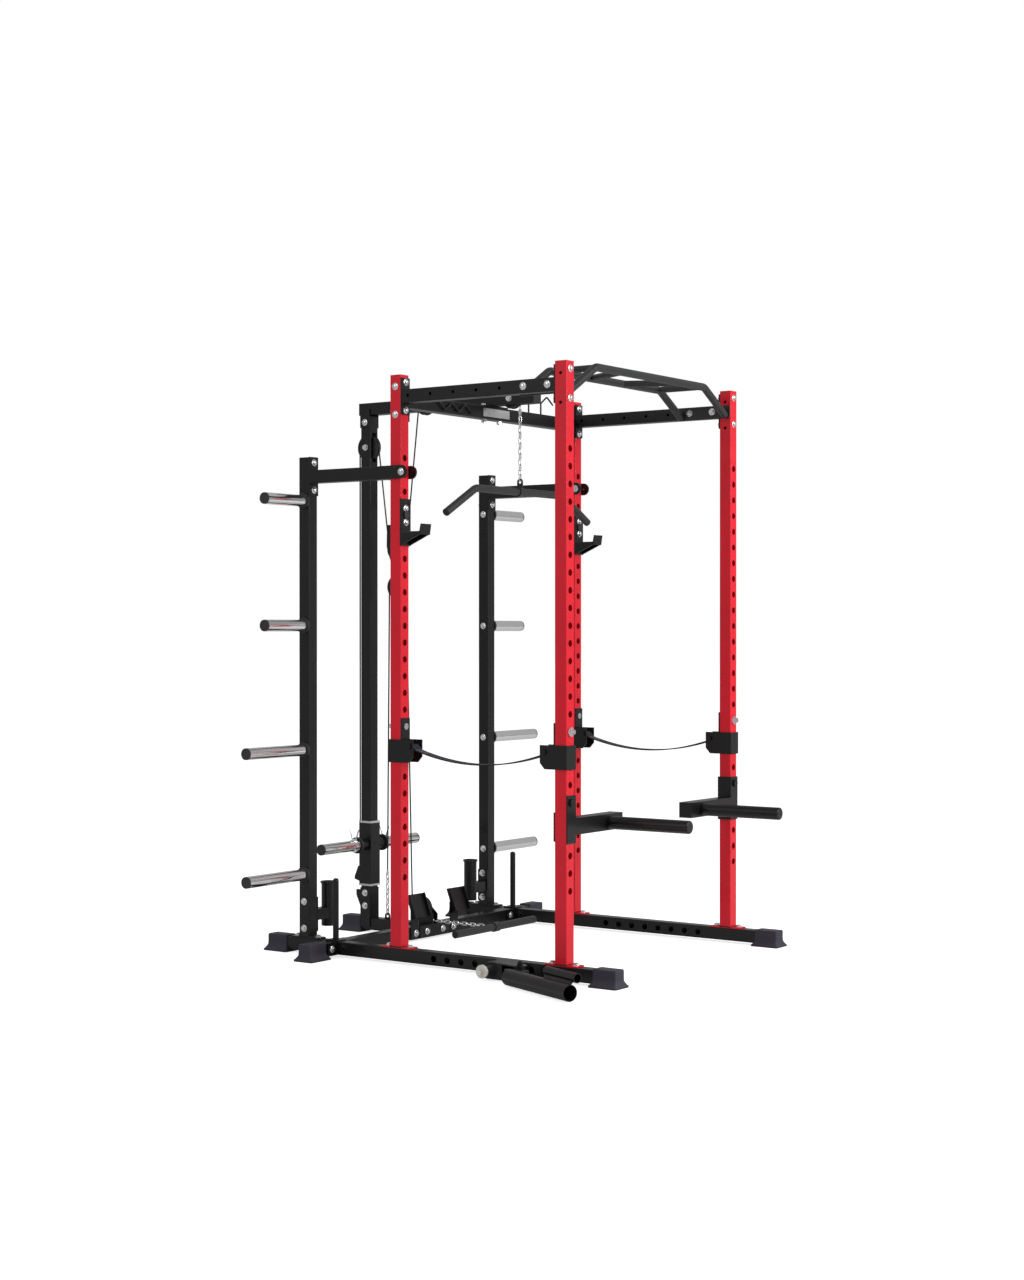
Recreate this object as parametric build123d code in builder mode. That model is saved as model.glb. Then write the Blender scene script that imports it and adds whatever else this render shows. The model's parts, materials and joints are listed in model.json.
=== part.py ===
from build123d import *
from math import acos, atan2, cos, degrees, radians, sin
import os

# Power cage: four drilled uprights on two floor rails, plate storage behind them, a lat and row
# station in the middle, a pull-up bar, dip handles, bar hooks, strap safeties and a landmine.
# The origin is on the floor, under the middle of the whole machine. X runs to the right seen
# from the front, Y to the back, Z up. Millimetres.

os.makedirs("parts", exist_ok=True)

# Driving dimensions
tube = 50.0                   # side of every square tube
wall = 2.5                    # its wall
corner = 3.0                  # radius of its edges
plate = 5.0                   # flanges and brackets
half_width = 617.5            # middle plane to the outer faces of the uprights
front_face = -592.5           # front faces of the front uprights
cage_depth = 746.0            # from there to the front faces of the rear uprights
upright_length = 2149.0
rail_z = 35.0                 # middle of the floor rails, above the floor
hole_pitch = 63.0
hole_r = 12.5                 # adjusting holes
first_hole_z = 326.5
hole_count = 26
shank_r = 6.0                 # bolts
bolt_hole_r = 6.25
slot_half = 12.0              # half the gap that a pulley turns in
cable_r = 3.0
peg_r = 22.5                  # plate pegs
neck_r = 21.5                 # the pegs are turned down where rings and clips sit
cap_r = 22.2                  # the caps in their tips
ring = 8.0                    # thickness of those rings

# Places worked out from them
side_x = half_width - tube / 2
inner_x = half_width - tube
front_y = front_face + tube / 2
rear_y = front_y + cage_depth
rear_face = rear_y - tube / 2
cross_y = rear_y + 312.0
post_y = rear_y + 451.0
mast_y = rear_y + 625.0
rail_top = rail_z + tube / 2
deck = rail_top + plate
upright_top = deck + upright_length
rail_start = front_face - 200.0
post_top = deck + 1860.0
arm_z = deck + 1784.0
side_beam_z = deck + 2067.0
rear_beam_z = deck + 2052.0
lat_beam_z = deck + 2107.0
mast_top = deck + 2077.0
peg_heights = (1756.0, 1273.0, 790.0, 307.0)
peg_tips = (848.5, 848.5, 952.5, 952.5)
lat_y = rear_y - 140.0        # the lat chain and bar hang here
row_y = rear_y - 20.0         # the row bar rests here
block_y = rear_y + 475.0
lat_beam_y = (lat_y - 81.0, lat_y + 798.0)
anchor_y = rear_y + 529.0     # the block's chain is fastened to the mast rail here


def write(piece, label):
    """Names a finished piece and saves it."""
    piece.part.label = label
    export_step(piece.part, f"parts/{label}.step")


def write_pair(left, name):
    """Saves a left-hand piece and its mirror image as two nodes."""
    write(left, f"{name}_left")
    with BuildPart() as right:
        add(mirror(left.part, about=Plane.YZ))
    write(right, f"{name}_right")


def write_both(left, name):
    """Saves a left-hand piece and its mirror image as one node."""
    with BuildPart() as both:
        add(left.part)
        mirror(about=Plane.YZ)
    write(both, name)


def block(x, y, z, mode=Mode.ADD):
    """A box between two corners, given as (low, high) along each axis."""
    with Locations(((x[0] + x[1]) / 2, (y[0] + y[1]) / 2, (z[0] + z[1]) / 2)):
        Box(x[1] - x[0], y[1] - y[0], z[1] - z[0], mode=mode)


def along(point, axis):
    """A frame at a point, with its Z along an axis."""
    return Plane(origin=point, z_dir=axis).location


def drill(points, axis, radius, depth):
    """Round holes centred on some points, straight through along an axis."""
    with Locations([along(p, axis) for p in points]):
        Cylinder(radius, depth, mode=Mode.SUBTRACT)


def square_tube(start, axis, length, capped=False):
    """A hollow square tube from a point along an axis, with its far end closed if capped."""
    ends = Plane(origin=start, x_dir=(0, 0, 1) if axis[2] == 0 else (1, 0, 0), z_dir=axis)
    with BuildSketch(ends) as outside:
        RectangleRounded(tube, tube, corner)
    extrude(outside.sketch, amount=length)
    with BuildSketch(ends) as inside:
        Rectangle(tube - 2 * wall, tube - 2 * wall)
    extrude(inside.sketch, amount=length - (wall if capped else 0), mode=Mode.SUBTRACT)


def side_plate(points, x, thickness):
    """A flat plate square to X, from its outline as (y, z) points, starting at x."""
    with BuildSketch(Plane(origin=(x, 0, 0), x_dir=(0, 1, 0), z_dir=(1, 0, 0))) as outline:
        with BuildLine():
            Polyline(*points, close=True)
        make_face()
    extrude(outline.sketch, amount=thickness)


def eye(centre, root, axis):
    """A flat lug with a hole along X, that a chain hooks into, rising from root along an axis."""
    with Locations(along(centre, (1, 0, 0))):
        Cylinder(13, 5)
    rise = centre[2] - root if axis[2] else centre[1] - root
    middle = Vector(*centre) - Vector(*axis) * (rise / 2)
    with Locations(middle):
        Box(5, 26 if axis[2] else rise, rise if axis[2] else 26)
    with Locations(along(centre, (1, 0, 0))):
        Cylinder(7, 5, mode=Mode.SUBTRACT)


# Bolted joints of the left half, each point on the face under the bolt's head
beam_bolt_z = (side_beam_z + 54, side_beam_z - 51)
crossbeam_bolt_z = (deck + 2105, deck + 2000)
grip_bolt_y = (front_face + 82, front_face + 187)
arm_bolt_z = (arm_z + 55, arm_z - 51)
holder_bolt_z = (98.0, 202.0)
mast_bolt_z = (deck + 2052, deck + 98, deck + 45)
foot_bolt_dy = 50.0
flange_dx = 57.0
centre_dx = (52.5, 125.5)
ear_y = rear_face - 8.0
front_bolts = [(-side_x, front_face, z) for z in beam_bolt_z]
rear_bolts = [(-side_x, rear_face - plate, z) for z in beam_bolt_z]
crossbeam_bolts = [(-half_width, rear_y, z) for z in crossbeam_bolt_z]
foot_bolts = [(-side_x, y + s * foot_bolt_dy, deck) for y in (front_y, rear_y, post_y) for s in (-1, 1)]
rail_bolts = [(-side_x + s * flange_dx, cross_y - tube / 2 - plate, rail_z) for s in (-1, 1)]
arm_bolts = [(-side_x, post_y - tube / 2 - plate, z) for z in arm_bolt_z]
peg_bolts = [(-inner_x, post_y, z) for z in peg_heights]
holder_bolts = [(-half_width, post_y, z) for z in holder_bolt_z]
grip_bolts = [(-half_width, y, side_beam_z + 1) for y in grip_bolt_y]
mast_bolts = [(-tube / 2 - plate, mast_y, z) for z in mast_bolt_z]

# Uprights: front and rear, drilled through front to back, on welded foot plates
for end, y in (("front", front_y), ("rear", rear_y)):
    with BuildPart() as upright:
        square_tube((-side_x, y, deck), (0, 0, 1), upright_length, capped=True)
        adjusting = [(-side_x, y, first_hole_z + hole_pitch * k) for k in range(hole_count)]
        drill(adjusting, (0, 1, 0), hole_r, 2 * tube)
        drill([(-side_x, y, z) for z in beam_bolt_z], (0, 1, 0), bolt_hole_r, 2 * tube)
        drill([(-side_x, y, z) for z in crossbeam_bolt_z], (1, 0, 0), bolt_hole_r, 2 * tube)
        block((-half_width, -inner_x), (y - 67.5, y + 67.5), (rail_top, deck))
        drill([(-side_x, y + s * foot_bolt_dy, deck) for s in (-1, 1)], (0, 0, 1), bolt_hole_r, 20)
    write_pair(upright, f"upright_{end}")

# Floor rails that run from the front feet back to the cross rail
with BuildPart() as base_rail:
    rail_end = cross_y - tube / 2 - plate
    square_tube((-side_x, rail_start, rail_z), (0, 1, 0), rail_end - rail_start)
    block((-side_x - 82, -side_x + 82), (rail_end, rail_end + plate), (rail_z - 25, rail_z + 25))
    drill([(-side_x, -1 - hole_pitch * k, rail_z) for k in range(8)], (1, 0, 0), hole_r, 60)
    drill([(-side_x, cross_y - 57, rail_z)], (1, 0, 0), 5, 60)
    drill(foot_bolts[:4], (0, 0, 1), bolt_hole_r, 20)
    drill(rail_bolts, (0, 1, 0), bolt_hole_r, 20)
write_both(base_rail, "base_rails")

with BuildPart() as cross_rail:
    square_tube((-772, cross_y, rail_z), (1, 0, 0), 1544)
    across = [s * x for x in (side_x - flange_dx, side_x + flange_dx, *centre_dx) for s in (-1, 1)]
    drill([(x, cross_y, rail_z) for x in across], (0, 1, 0), bolt_hole_r, 60)
write(cross_rail, "cross_rail")

# Rails behind the cross rail: one under each storage post and one under the mast
with BuildPart() as storage_rail:
    storage_start = cross_y + tube / 2
    square_tube((-side_x, storage_start + plate, rail_z), (0, 1, 0), 283)
    block((-side_x - 82, -side_x + 82), (storage_start, storage_start + plate), (rail_z - 25, rail_z + 25))
    drill(foot_bolts[4:], (0, 0, 1), bolt_hole_r, 20)
    drill(rail_bolts, (0, 1, 0), bolt_hole_r, 200)
write_both(storage_rail, "storage_rails")

with BuildPart() as mast_rail:
    square_tube((0, storage_start + plate, rail_z), (0, 1, 0), 397)
    block((-80, 80), (storage_start, storage_start + plate), (rail_z - 25, rail_z + 25))
    drill([(s * centre_dx[0], storage_start, rail_z) for s in (-1, 1)], (0, 1, 0), bolt_hole_r, 20)
    for x in (-tube / 2 - plate, tube / 2):
        block((x, x + plate), (mast_y - 25, mast_y + 25), (24, 185))
    drill([(0, mast_y, z) for z in mast_bolt_z[1:]], (1, 0, 0), bolt_hole_r, 100)
    gusset = [(25, deck + 2), (30, deck + 2), (69, 148), (69, 172), (25, 172)]
    side_plate([(mast_y + dy, z) for dy, z in gusset], -2.5, plate)
    eye((0, anchor_y, rail_top + 12), rail_top - 1, (0, 0, 1))
write(mast_rail, "mast_rail")


def boot(end, axis):
    """A rubber foot over a rail's open end, flared where it meets the floor."""
    along_y = axis[1] != 0
    turn = 90 if along_y else 0
    centre = Plane(origin=(end[0] - 49 * axis[0], end[1] - 49 * axis[1], 0))
    with BuildPart() as foot:
        with BuildSketch(centre.rotated((0, 0, turn))):
            RectangleRounded(118, 92, 8)
        with BuildSketch(centre.rotated((0, 0, turn)).offset(9)):
            RectangleRounded(116, 90, 8)
        loft()
        with BuildSketch(centre.rotated((0, 0, turn)).offset(9)):
            RectangleRounded(112, 86, 8)
        with BuildSketch(centre.rotated((0, 0, turn)).offset(24)):
            RectangleRounded(98, 60, 6)
        loft()
        with BuildSketch(centre.rotated((0, 0, turn)).offset(24)):
            RectangleRounded(98, 60, 6)
        extrude(amount=deck - 24)
        inner = Plane(origin=(end[0] - 8.5 * axis[0], end[1] - 8.5 * axis[1], rail_z))
        span = (120 if axis[0] else tube, 120 if along_y else tube, tube)
        with Locations((inner.origin.X - 60 * axis[0], inner.origin.Y - 60 * axis[1], rail_z)):
            Box(*span, mode=Mode.SUBTRACT)
    return foot


# Rubber feet on the rails' open ends
boots = [boot((0, mast_y + 124, 0), (0, 1, 0))]
for s in (-1, 1):
    boots += [
        boot((s * side_x, rail_start - 10, 0), (0, -1, 0)),
        boot((s * 780.5, cross_y, 0), (s, 0, 0)),
        boot((s * side_x, storage_start + 298, 0), (0, 1, 0)),
    ]
with BuildPart() as rubber_feet:
    for foot in boots:
        add(foot.part)
write(rubber_feet, "rubber_feet")

# Round pegs on the cross rail that hold the loops of stretch bands, and wavy wires on the rear
# crossbeam that bands and ropes are hooked over
wire_r = 3.5
wave_step = 44.0
wave_half = 15.0
low_wave = (-392.5, rear_face - 8, rear_beam_z + 2)
high_wave = (217.5, rear_y, rear_beam_z + 88)
with BuildPart() as band_pegs:
    for s in (-1, 1):
        block((s * side_x - 25, s * side_x + 25), (cross_y - 30, cross_y + 30), (rail_top, deck))
        with Locations((s * side_x, cross_y, deck)):
            Cylinder(11.5, 235, align=(Align.CENTER, Align.CENTER, Align.MIN))
    fillet(band_pegs.edges().filter_by(GeomType.CIRCLE).group_by(Axis.Z)[-1], radius=9)
    for x, y, z in (low_wave, high_wave):
        wave = [(x + wave_step * k, y, z + wave_half * (-1) ** k) for k in range(6)]
        with BuildLine() as wire:
            FilletPolyline(*wave, radius=11)
        with BuildSketch(Plane(origin=wire.line @ 0, z_dir=wire.line % 0)) as section:
            Circle(wire_r)
        sweep(section.sketch, path=wire.line)
    for k in (1, 3):
        with Locations(along((low_wave[0] + wave_step * k, low_wave[1], low_wave[2] - 11), (0, 1, 0))):
            Cylinder(wire_r, 8, align=(Align.CENTER, Align.CENTER, Align.MIN))
        with Locations((high_wave[0] + wave_step * k, rear_y, rear_beam_z + tube / 2)):
            Cylinder(wire_r, 50, align=(Align.CENTER, Align.CENTER, Align.MIN))
write(band_pegs, "band_pegs")

# Storage posts, the arms that tie them to the rear uprights, pegs and barbell holders
with BuildPart() as storage_post:
    square_tube((-side_x, post_y, deck), (0, 0, 1), post_top - deck, capped=True)
    block((-half_width, -inner_x), (post_y - 67.5, post_y + 67.5), (rail_top, deck))
    drill(foot_bolts[4:], (0, 0, 1), bolt_hole_r, 20)
    drill([(-side_x, post_y, z) for z in peg_heights + holder_bolt_z], (1, 0, 0), bolt_hole_r, 60)
    drill([(-side_x, post_y, z) for z in arm_bolt_z], (0, 1, 0), bolt_hole_r, 60)
write_both(storage_post, "storage_posts")

with BuildPart() as post_arm:
    arm_start = rear_y + tube / 2
    arm_end = post_y - tube / 2 - plate
    square_tube((-side_x, arm_start, arm_z), (0, 1, 0), arm_end - arm_start)
    block((-half_width, -inner_x), (arm_end, arm_end + plate), (arm_z - 73, arm_z + 77))
    drill(arm_bolts, (0, 1, 0), bolt_hole_r, 20)
    for x in (-half_width - 8, -inner_x):
        block((x, x + 8), (ear_y, arm_start + 48), (arm_z - 25, arm_z + 25))
        with Locations(along((x + 4, ear_y, arm_z), (1, 0, 0))):
            Cylinder(25, 8)
    drill([(-side_x, ear_y, arm_z)], (1, 0, 0), bolt_hole_r, 80)
write_both(post_arm, "post_arms")

with BuildPart() as plate_pegs:
    for s in (-1, 1):
        for z, tip in zip(peg_heights, peg_tips):
            with Locations(along((s * half_width, post_y, z), (s, 0, 0))):
                Cylinder(neck_r, ring, align=(Align.CENTER, Align.CENTER, Align.MIN))
            with Locations(along((s * (half_width + ring), post_y, z), (s, 0, 0))):
                Cylinder(peg_r, tip - half_width - ring - 6, align=(Align.CENTER, Align.CENTER, Align.MIN))
            with Locations(along((s * (half_width + 24), post_y, z), (s, 0, 0))):
                Cylinder(
                    peg_r - 3, tip - half_width, align=(Align.CENTER, Align.CENTER, Align.MIN),
                    mode=Mode.SUBTRACT,
                )
    drill([(s * half_width, post_y, z) for s in (-1, 1) for z in peg_heights], (1, 0, 0), bolt_hole_r, 60)
write(plate_pegs, "plate_pegs")

with BuildPart() as peg_collars:
    for s in (-1, 1):
        with Locations([along((s * (half_width + ring / 2), post_y, z), (s, 0, 0)) for z in peg_heights]):
            Cylinder(30, ring)
            Cylinder(neck_r, ring, mode=Mode.SUBTRACT)
write(peg_collars, "peg_collars")

# Plastic caps in the tips of the pegs and the ends of the lat beam
with BuildPart() as end_caps:
    for s in (-1, 1):
        for z, tip in zip(peg_heights, peg_tips):
            with Locations(along((s * (tip - 3), post_y, z), (s, 0, 0))):
                Cylinder(cap_r, 6)
            with Locations(along((s * (tip - 16), post_y, z), (s, 0, 0))):
                Cylinder(peg_r - 3, 20)
    for y, outward in ((lat_beam_y[0], -1), (lat_beam_y[1], 1)):
        with Locations(along((0, y, lat_beam_z), (0, outward, 0))):
            Box(tube, tube, 2, align=(Align.CENTER, Align.CENTER, Align.MIN))
            Box(tube - 2 * wall, tube - 2 * wall, 12, align=(Align.CENTER, Align.CENTER, Align.MAX))
write(end_caps, "end_caps")

with BuildPart() as barbell_holder:
    cup_x = inner_x - 95
    block((-inner_x, -inner_x + plate), (post_y - 25, post_y + 25), (83, 217))
    block((-inner_x + plate, -cup_x - 20), (post_y - 20, post_y + 20), (125, 168))
    with Locations((-cup_x, post_y, 94)):
        Cylinder(27, 174, align=(Align.CENTER, Align.CENTER, Align.MIN))
    with Locations((-cup_x, post_y, 260)):
        Cylinder(31, 8, align=(Align.CENTER, Align.CENTER, Align.MIN))
    with Locations((-cup_x, post_y, 98)):
        Cylinder(25, 174, align=(Align.CENTER, Align.CENTER, Align.MIN), mode=Mode.SUBTRACT)
    drill([(-inner_x, post_y, z) for z in holder_bolt_z], (1, 0, 0), bolt_hole_r, 20)
write_both(barbell_holder, "barbell_holders")

# Top beams: one each side, one across the rear, and the lat station's beam on top of that
with BuildPart() as top_beam:
    beam_start = front_face + tube + plate
    beam_end = rear_face - plate
    square_tube((-side_x, beam_start, side_beam_z), (0, 1, 0), beam_end - beam_start)
    for y in (beam_start - plate, beam_end):
        block((-half_width, -inner_x), (y, y + plate), (side_beam_z - 68, side_beam_z + 70))
    drill([(-side_x, 0, z) for z in beam_bolt_z], (0, 1, 0), bolt_hole_r, 1200)
    holes = [(-side_x, grip_bolt_y[0] + 105 * k, side_beam_z + 1) for k in range(7)]
    drill(holes, (1, 0, 0), bolt_hole_r, 60)
write_both(top_beam, "top_beams")

with BuildPart() as rear_crossbeam:
    square_tube((-inner_x + plate, rear_y, rear_beam_z), (1, 0, 0), 2 * (inner_x - plate))
    for x in (-inner_x, inner_x - plate):
        block((x, x + plate), (rear_y - 25, rear_y + 25), (rear_beam_z - 77, rear_beam_z + 78))
    drill([(0, rear_y, z) for z in crossbeam_bolt_z], (1, 0, 0), bolt_hole_r, 1200)
    drill([(s * 51.5, rear_y, rear_beam_z) for s in (-1, 1)], (0, 0, 1), bolt_hole_r, 60)
write(rear_crossbeam, "rear_crossbeam")

with BuildPart() as name_plate:
    block((-89, 89), (rear_face - 1.2, rear_face), (rear_beam_z - 16, rear_beam_z + 17))
    with Locations([along((s * 82, rear_face - 1.2, rear_beam_z), (0, -1, 0)) for s in (-1, 1)]):
        Cylinder(3, 2)
write(name_plate, "name_plate")

# Lat station: pulley geometry shared by its beam, mast, wheels and cables, as (y, z) centres
wheels = {
    "lat_wheel_front": ((lat_y + 36, lat_beam_z), 40.0),
    "lat_wheel_rear": ((rear_y + 329, lat_beam_z), 40.0),
    "mast_wheel": ((mast_y, deck + 1948), 53.5),
    "block_wheel_upper": ((block_y, deck + 1524), 47.5),
    "block_wheel_lower": ((block_y, deck + 1368), 47.5),
    "row_wheel": ((rear_y + 353, deck + 52), 50.0),
}

with BuildPart() as lat_beam:
    square_tube((0, lat_beam_y[0], lat_beam_z), (0, 1, 0), lat_beam_y[1] - lat_beam_y[0])
    for name in ("lat_wheel_front", "lat_wheel_rear"):
        wheel_y = wheels[name][0][0]
        slot_y = (wheel_y - 44, wheel_y + 44)
        block((-slot_half, slot_half), slot_y, (lat_beam_z - 30, lat_beam_z + 30), Mode.SUBTRACT)
        drill([(0, wheel_y, lat_beam_z)], (1, 0, 0), bolt_hole_r, 60)
    block((-80, 80), (rear_y - 25, rear_y + 25), (rear_beam_z + 25, lat_beam_z - 25))
    drill([(s * 51.5, rear_y, lat_beam_z - 27) for s in (-1, 1)], (0, 0, 1), bolt_hole_r, 20)
    for x in (-tube / 2 - plate, tube / 2):
        block((x, x + plate), (mast_y - 25, mast_y + 25), (mast_top - 47, lat_beam_z))
    drill([(0, mast_y, mast_bolt_z[0])], (1, 0, 0), bolt_hole_r, 70)
write(lat_beam, "lat_beam")

with BuildPart() as mast:
    square_tube((0, mast_y, rail_top), (0, 0, 1), mast_top - rail_top, capped=True)
    wheel_z = wheels["mast_wheel"][0][1]
    block((-slot_half, slot_half), (mast_y - 30, mast_y + 30), (wheel_z - 60, wheel_z + 61), Mode.SUBTRACT)
    drill([(0, mast_y, z) for z in (*mast_bolt_z, wheel_z)], (1, 0, 0), bolt_hole_r, 60)
write(mast, "mast")

for name, ((y, z), radius) in wheels.items():
    with BuildPart() as wheel:
        with BuildSketch(Plane.XZ):
            with BuildLine():
                Polyline(
                    (6.05, -10.5), (16, -10.5), (18, -7), (radius - 9, -7), (radius - 7, -10), (radius, -10),
                    (radius - 7.3, -2.6), (radius - 7.3, 2.6), (radius, 10), (radius - 7, 10),
                    (radius - 9, 7), (18, 7), (16, 10.5), (6.05, 10.5), close=True,
                )
            make_face()
        revolve(axis=Axis.Z)
    with BuildPart() as placed:
        add(wheel.part.moved(along((0, y, z), (1, 0, 0))))
    write(placed, name)


def axle(y, z, half):
    """A wheel's axle bolt along X, headed at the left and nutted at the right."""
    with Locations(along((-half, y, z), (1, 0, 0))):
        Cylinder(shank_r, 2 * half + 12, align=(Align.CENTER, Align.CENTER, Align.MIN))
        Cylinder(13, 2, align=(Align.CENTER, Align.CENTER, Align.MAX))
    with Locations(along((-half - 2, y, z), (1, 0, 0))):
        Cylinder(10.5, 7, align=(Align.CENTER, Align.CENTER, Align.MAX))
    with Locations(along((half, y, z), (1, 0, 0))):
        Cylinder(10.5, 9, align=(Align.CENTER, Align.CENTER, Align.MIN))


with BuildPart() as pulley_axles:
    for name in ("lat_wheel_front", "lat_wheel_rear", "mast_wheel"):
        axle(*wheels[name][0], tube / 2)
    axle(*wheels["row_wheel"][0], slot_half + plate)
write(pulley_axles, "pulley_axles")

with BuildPart() as block_plates:
    upper_z = wheels["block_wheel_upper"][0][1]
    lower_z = wheels["block_wheel_lower"][0][1]
    outline = [
        (-44, upper_z + 100), (44, upper_z + 100), (46, upper_z + 10), (22, upper_z - 60),
        (22, lower_z - 20), (12, lower_z - 32), (-12, lower_z - 32), (-22, lower_z - 20),
        (-22, upper_z - 60), (-46, upper_z + 10),
    ]
    for x in (-slot_half - 4, slot_half):
        side_plate([(block_y + dy, z) for dy, z in outline], x, 4)
    drill([(0, block_y, z) for z in (upper_z, lower_z)], (1, 0, 0), bolt_hole_r, 60)
    for dz in (84, -78):
        with Locations(along((0, block_y, upper_z + dz), (1, 0, 0))):
            Cylinder(7, 2 * slot_half)
    for z in (upper_z, lower_z):
        axle(block_y, z, slot_half + 4)
write(block_plates, "block_plates")

# Weight carriage: a sleeve that slides on the mast and carries a plate peg on each side
carriage_z = (193.0, 462.0)
carriage_peg_z = 365.0
carriage_top = 270.0        # the cable is fastened here, on top of its gusset
with BuildPart() as carriage:
    block((-30, 30), (mast_y - 31, mast_y + 31), (carriage_z[0] + 8, carriage_z[1] - 8))
    bore = ((-25.6, 25.6), (mast_y - 25.6, mast_y + 25.6), (0, 600))
    block(*bore, Mode.SUBTRACT)
    for s in (-1, 1):
        with Locations(along((s * 30, mast_y, carriage_peg_z), (s, 0, 0))):
            Cylinder(24, 48, align=(Align.CENTER, Align.CENTER, Align.MIN))
    gusset = [(31, carriage_z[0] + 8), (77, 214), (77, 226), (58, carriage_top), (31, carriage_top)]
    side_plate([(mast_y + dy, z) for dy, z in gusset], -4, 8)
write(carriage, "carriage")

with BuildPart() as carriage_glides:
    for z in (carriage_z[0], carriage_z[1] - 8):
        block((-31, 31), (mast_y - 32, mast_y + 32), (z, z + 8))
        block((-25.3, 25.3), (mast_y - 25.3, mast_y + 25.3), (z, z + 8), Mode.SUBTRACT)
write(carriage_glides, "carriage_glides")

# Its pegs, each with a wire spring clip that keeps the plates on
with BuildPart() as carriage_pegs:
    for s in (-1, 1):
        with Locations(along((s * 78, mast_y, carriage_peg_z), (s, 0, 0))):
            Cylinder(neck_r, 28, align=(Align.CENTER, Align.CENTER, Align.MIN))
        with Locations(along((s * 106, mast_y, carriage_peg_z), (s, 0, 0))):
            Cylinder(peg_r, 201.5, align=(Align.CENTER, Align.CENTER, Align.MIN))
    for s in (-1, 1):
        with Locations([along((s * x, mast_y, carriage_peg_z), (s, 0, 0)) for x in (96, 103)]):
            Cylinder(neck_r + 6.3, 5)
            Cylinder(neck_r + 0.3, 5, mode=Mode.SUBTRACT)
        block((s * 98 - 5, s * 98 + 5), (mast_y - 3, mast_y + 3), (carriage_peg_z + 24, carriage_peg_z + 29))
        for dy in (-16, 16):
            with Locations(along((s * 99.5, mast_y + dy, carriage_peg_z + 46), (0, dy, 46))):
                Cylinder(3, 43)
write(carriage_pegs, "carriage_pegs")

# Rubber rings at the inner ends of those pegs, and the caps on their tips
with BuildPart() as carriage_bumpers:
    for s in (-1, 1):
        with Locations(along((s * 82, mast_y, carriage_peg_z), (s, 0, 0))):
            Cylinder(34, ring)
            Cylinder(neck_r, ring, mode=Mode.SUBTRACT)
        with Locations(along((s * 310.5, mast_y, carriage_peg_z), (s, 0, 0))):
            Cylinder(cap_r, 6)
write(carriage_bumpers, "carriage_bumpers")

# Pull-up bar: two bent tubes joined by cross grips, welded to plates on the side beams
bend_x = 392.5
leg_x = 559.0
leg_z = side_beam_z - 17
grip_z = deck + 2147.0
bar_y = (front_face + 22, front_face + 225)
bar_r = 15.0
with BuildPart() as pull_up_bar:
    for y in bar_y:
        with BuildLine() as bend:
            FilletPolyline(
                (-leg_x, y, leg_z), (-bend_x, y, grip_z), (bend_x, y, grip_z), (leg_x, y, leg_z), radius=45,
            )
        with BuildSketch(Plane(origin=(-leg_x, y, leg_z), z_dir=(leg_x - bend_x, 0, grip_z - leg_z))):
            Circle(bar_r)
        sweep()
    for front_x, back_x in ((-375, -375), (-215, -110), (215, 110), (375, 375)):
        ends = [Vector(front_x, bar_y[0], grip_z), Vector(back_x, bar_y[1], grip_z)]
        with Locations(along(ends[0], ends[1] - ends[0])):
            Cylinder(12.5, (ends[1] - ends[0]).length, align=(Align.CENTER, Align.CENTER, Align.MIN))
    for x in (-inner_x, inner_x - plate):
        block((x, x + plate), (front_face + 3, front_face + 235), (side_beam_z - 28, side_beam_z + 22))
    drill([(0, y, side_beam_z + 1) for y in grip_bolt_y], (1, 0, 0), bolt_hole_r, 1200)
write(pull_up_bar, "pull_up_bar")

# Dip handles on the front uprights, held by a pin through an adjusting hole
dip_pin_z = first_hole_z + 5 * hole_pitch
dip_x = 339.5
dip_z = 553.0
with BuildPart() as dip_bar:
    block((-half_width, -inner_x), (front_face - plate, front_face), (496, 667))
    block((-inner_x, -inner_x + plate), (front_face - plate, front_face + tube + plate), (496, 667))
    block((-half_width, -inner_x), (front_face + tube, front_face + tube + plate), (502, 606))
    block((-inner_x + plate, -dip_x + 89), (front_face - plate, front_face + tube), (525, 585))
    block((-inner_x + plate, -dip_x + 86), (front_face - 2, front_face + 47), (528, 582), Mode.SUBTRACT)
    with Locations(along((-dip_x, front_face - plate, dip_z), (0, -1, 0))):
        Cylinder(24, 340, align=(Align.CENTER, Align.CENTER, Align.MIN))
    with Locations(along((-dip_x, front_face - plate - 8, dip_z), (0, -1, 0))):
        Cylinder(21, 326, align=(Align.CENTER, Align.CENTER, Align.MIN), mode=Mode.SUBTRACT)
    fillet(dip_bar.edges().filter_by(GeomType.CIRCLE).group_by(Axis.Y)[0], radius=5)
    with Locations(along((-side_x, front_face - plate, dip_pin_z), (0, 1, 0))):
        Cylinder(hole_r - 0.5, tube + plate, align=(Align.CENTER, Align.CENTER, Align.MIN))
        Cylinder(14, 7, align=(Align.CENTER, Align.CENTER, Align.MAX))
write_both(dip_bar, "dip_bars")

# Hooks on the rear uprights that the barbell rests on
hook_low = 1572.0
shelf_z = 1621.0
hook_x = (-half_width - plate, -inner_x + plate)
hook_pin_z = first_hole_z + 22 * hole_pitch
with BuildPart() as j_hook:
    block(hook_x, (rear_face - plate, rear_face), (hook_low, 1748))
    block(hook_x, (61.5, rear_face), (shelf_z - plate, shelf_z))
    for x in (hook_x[0], hook_x[1] - plate):
        side_plate([(rear_face, hook_low), (rear_face, shelf_z), (62, shelf_z), (62, 1612)], x, plate)
    side_plate([(62.5, 1612), (62.5, shelf_z), (56, 1652), (51, 1652), (57, 1612)], hook_x[0], 60)
    with Locations(along((-side_x, rear_face - plate, hook_pin_z), (0, 1, 0))):
        Cylinder(hole_r - 0.5, 40, align=(Align.CENTER, Align.CENTER, Align.MIN))
write_both(j_hook, "j_hooks")

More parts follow.
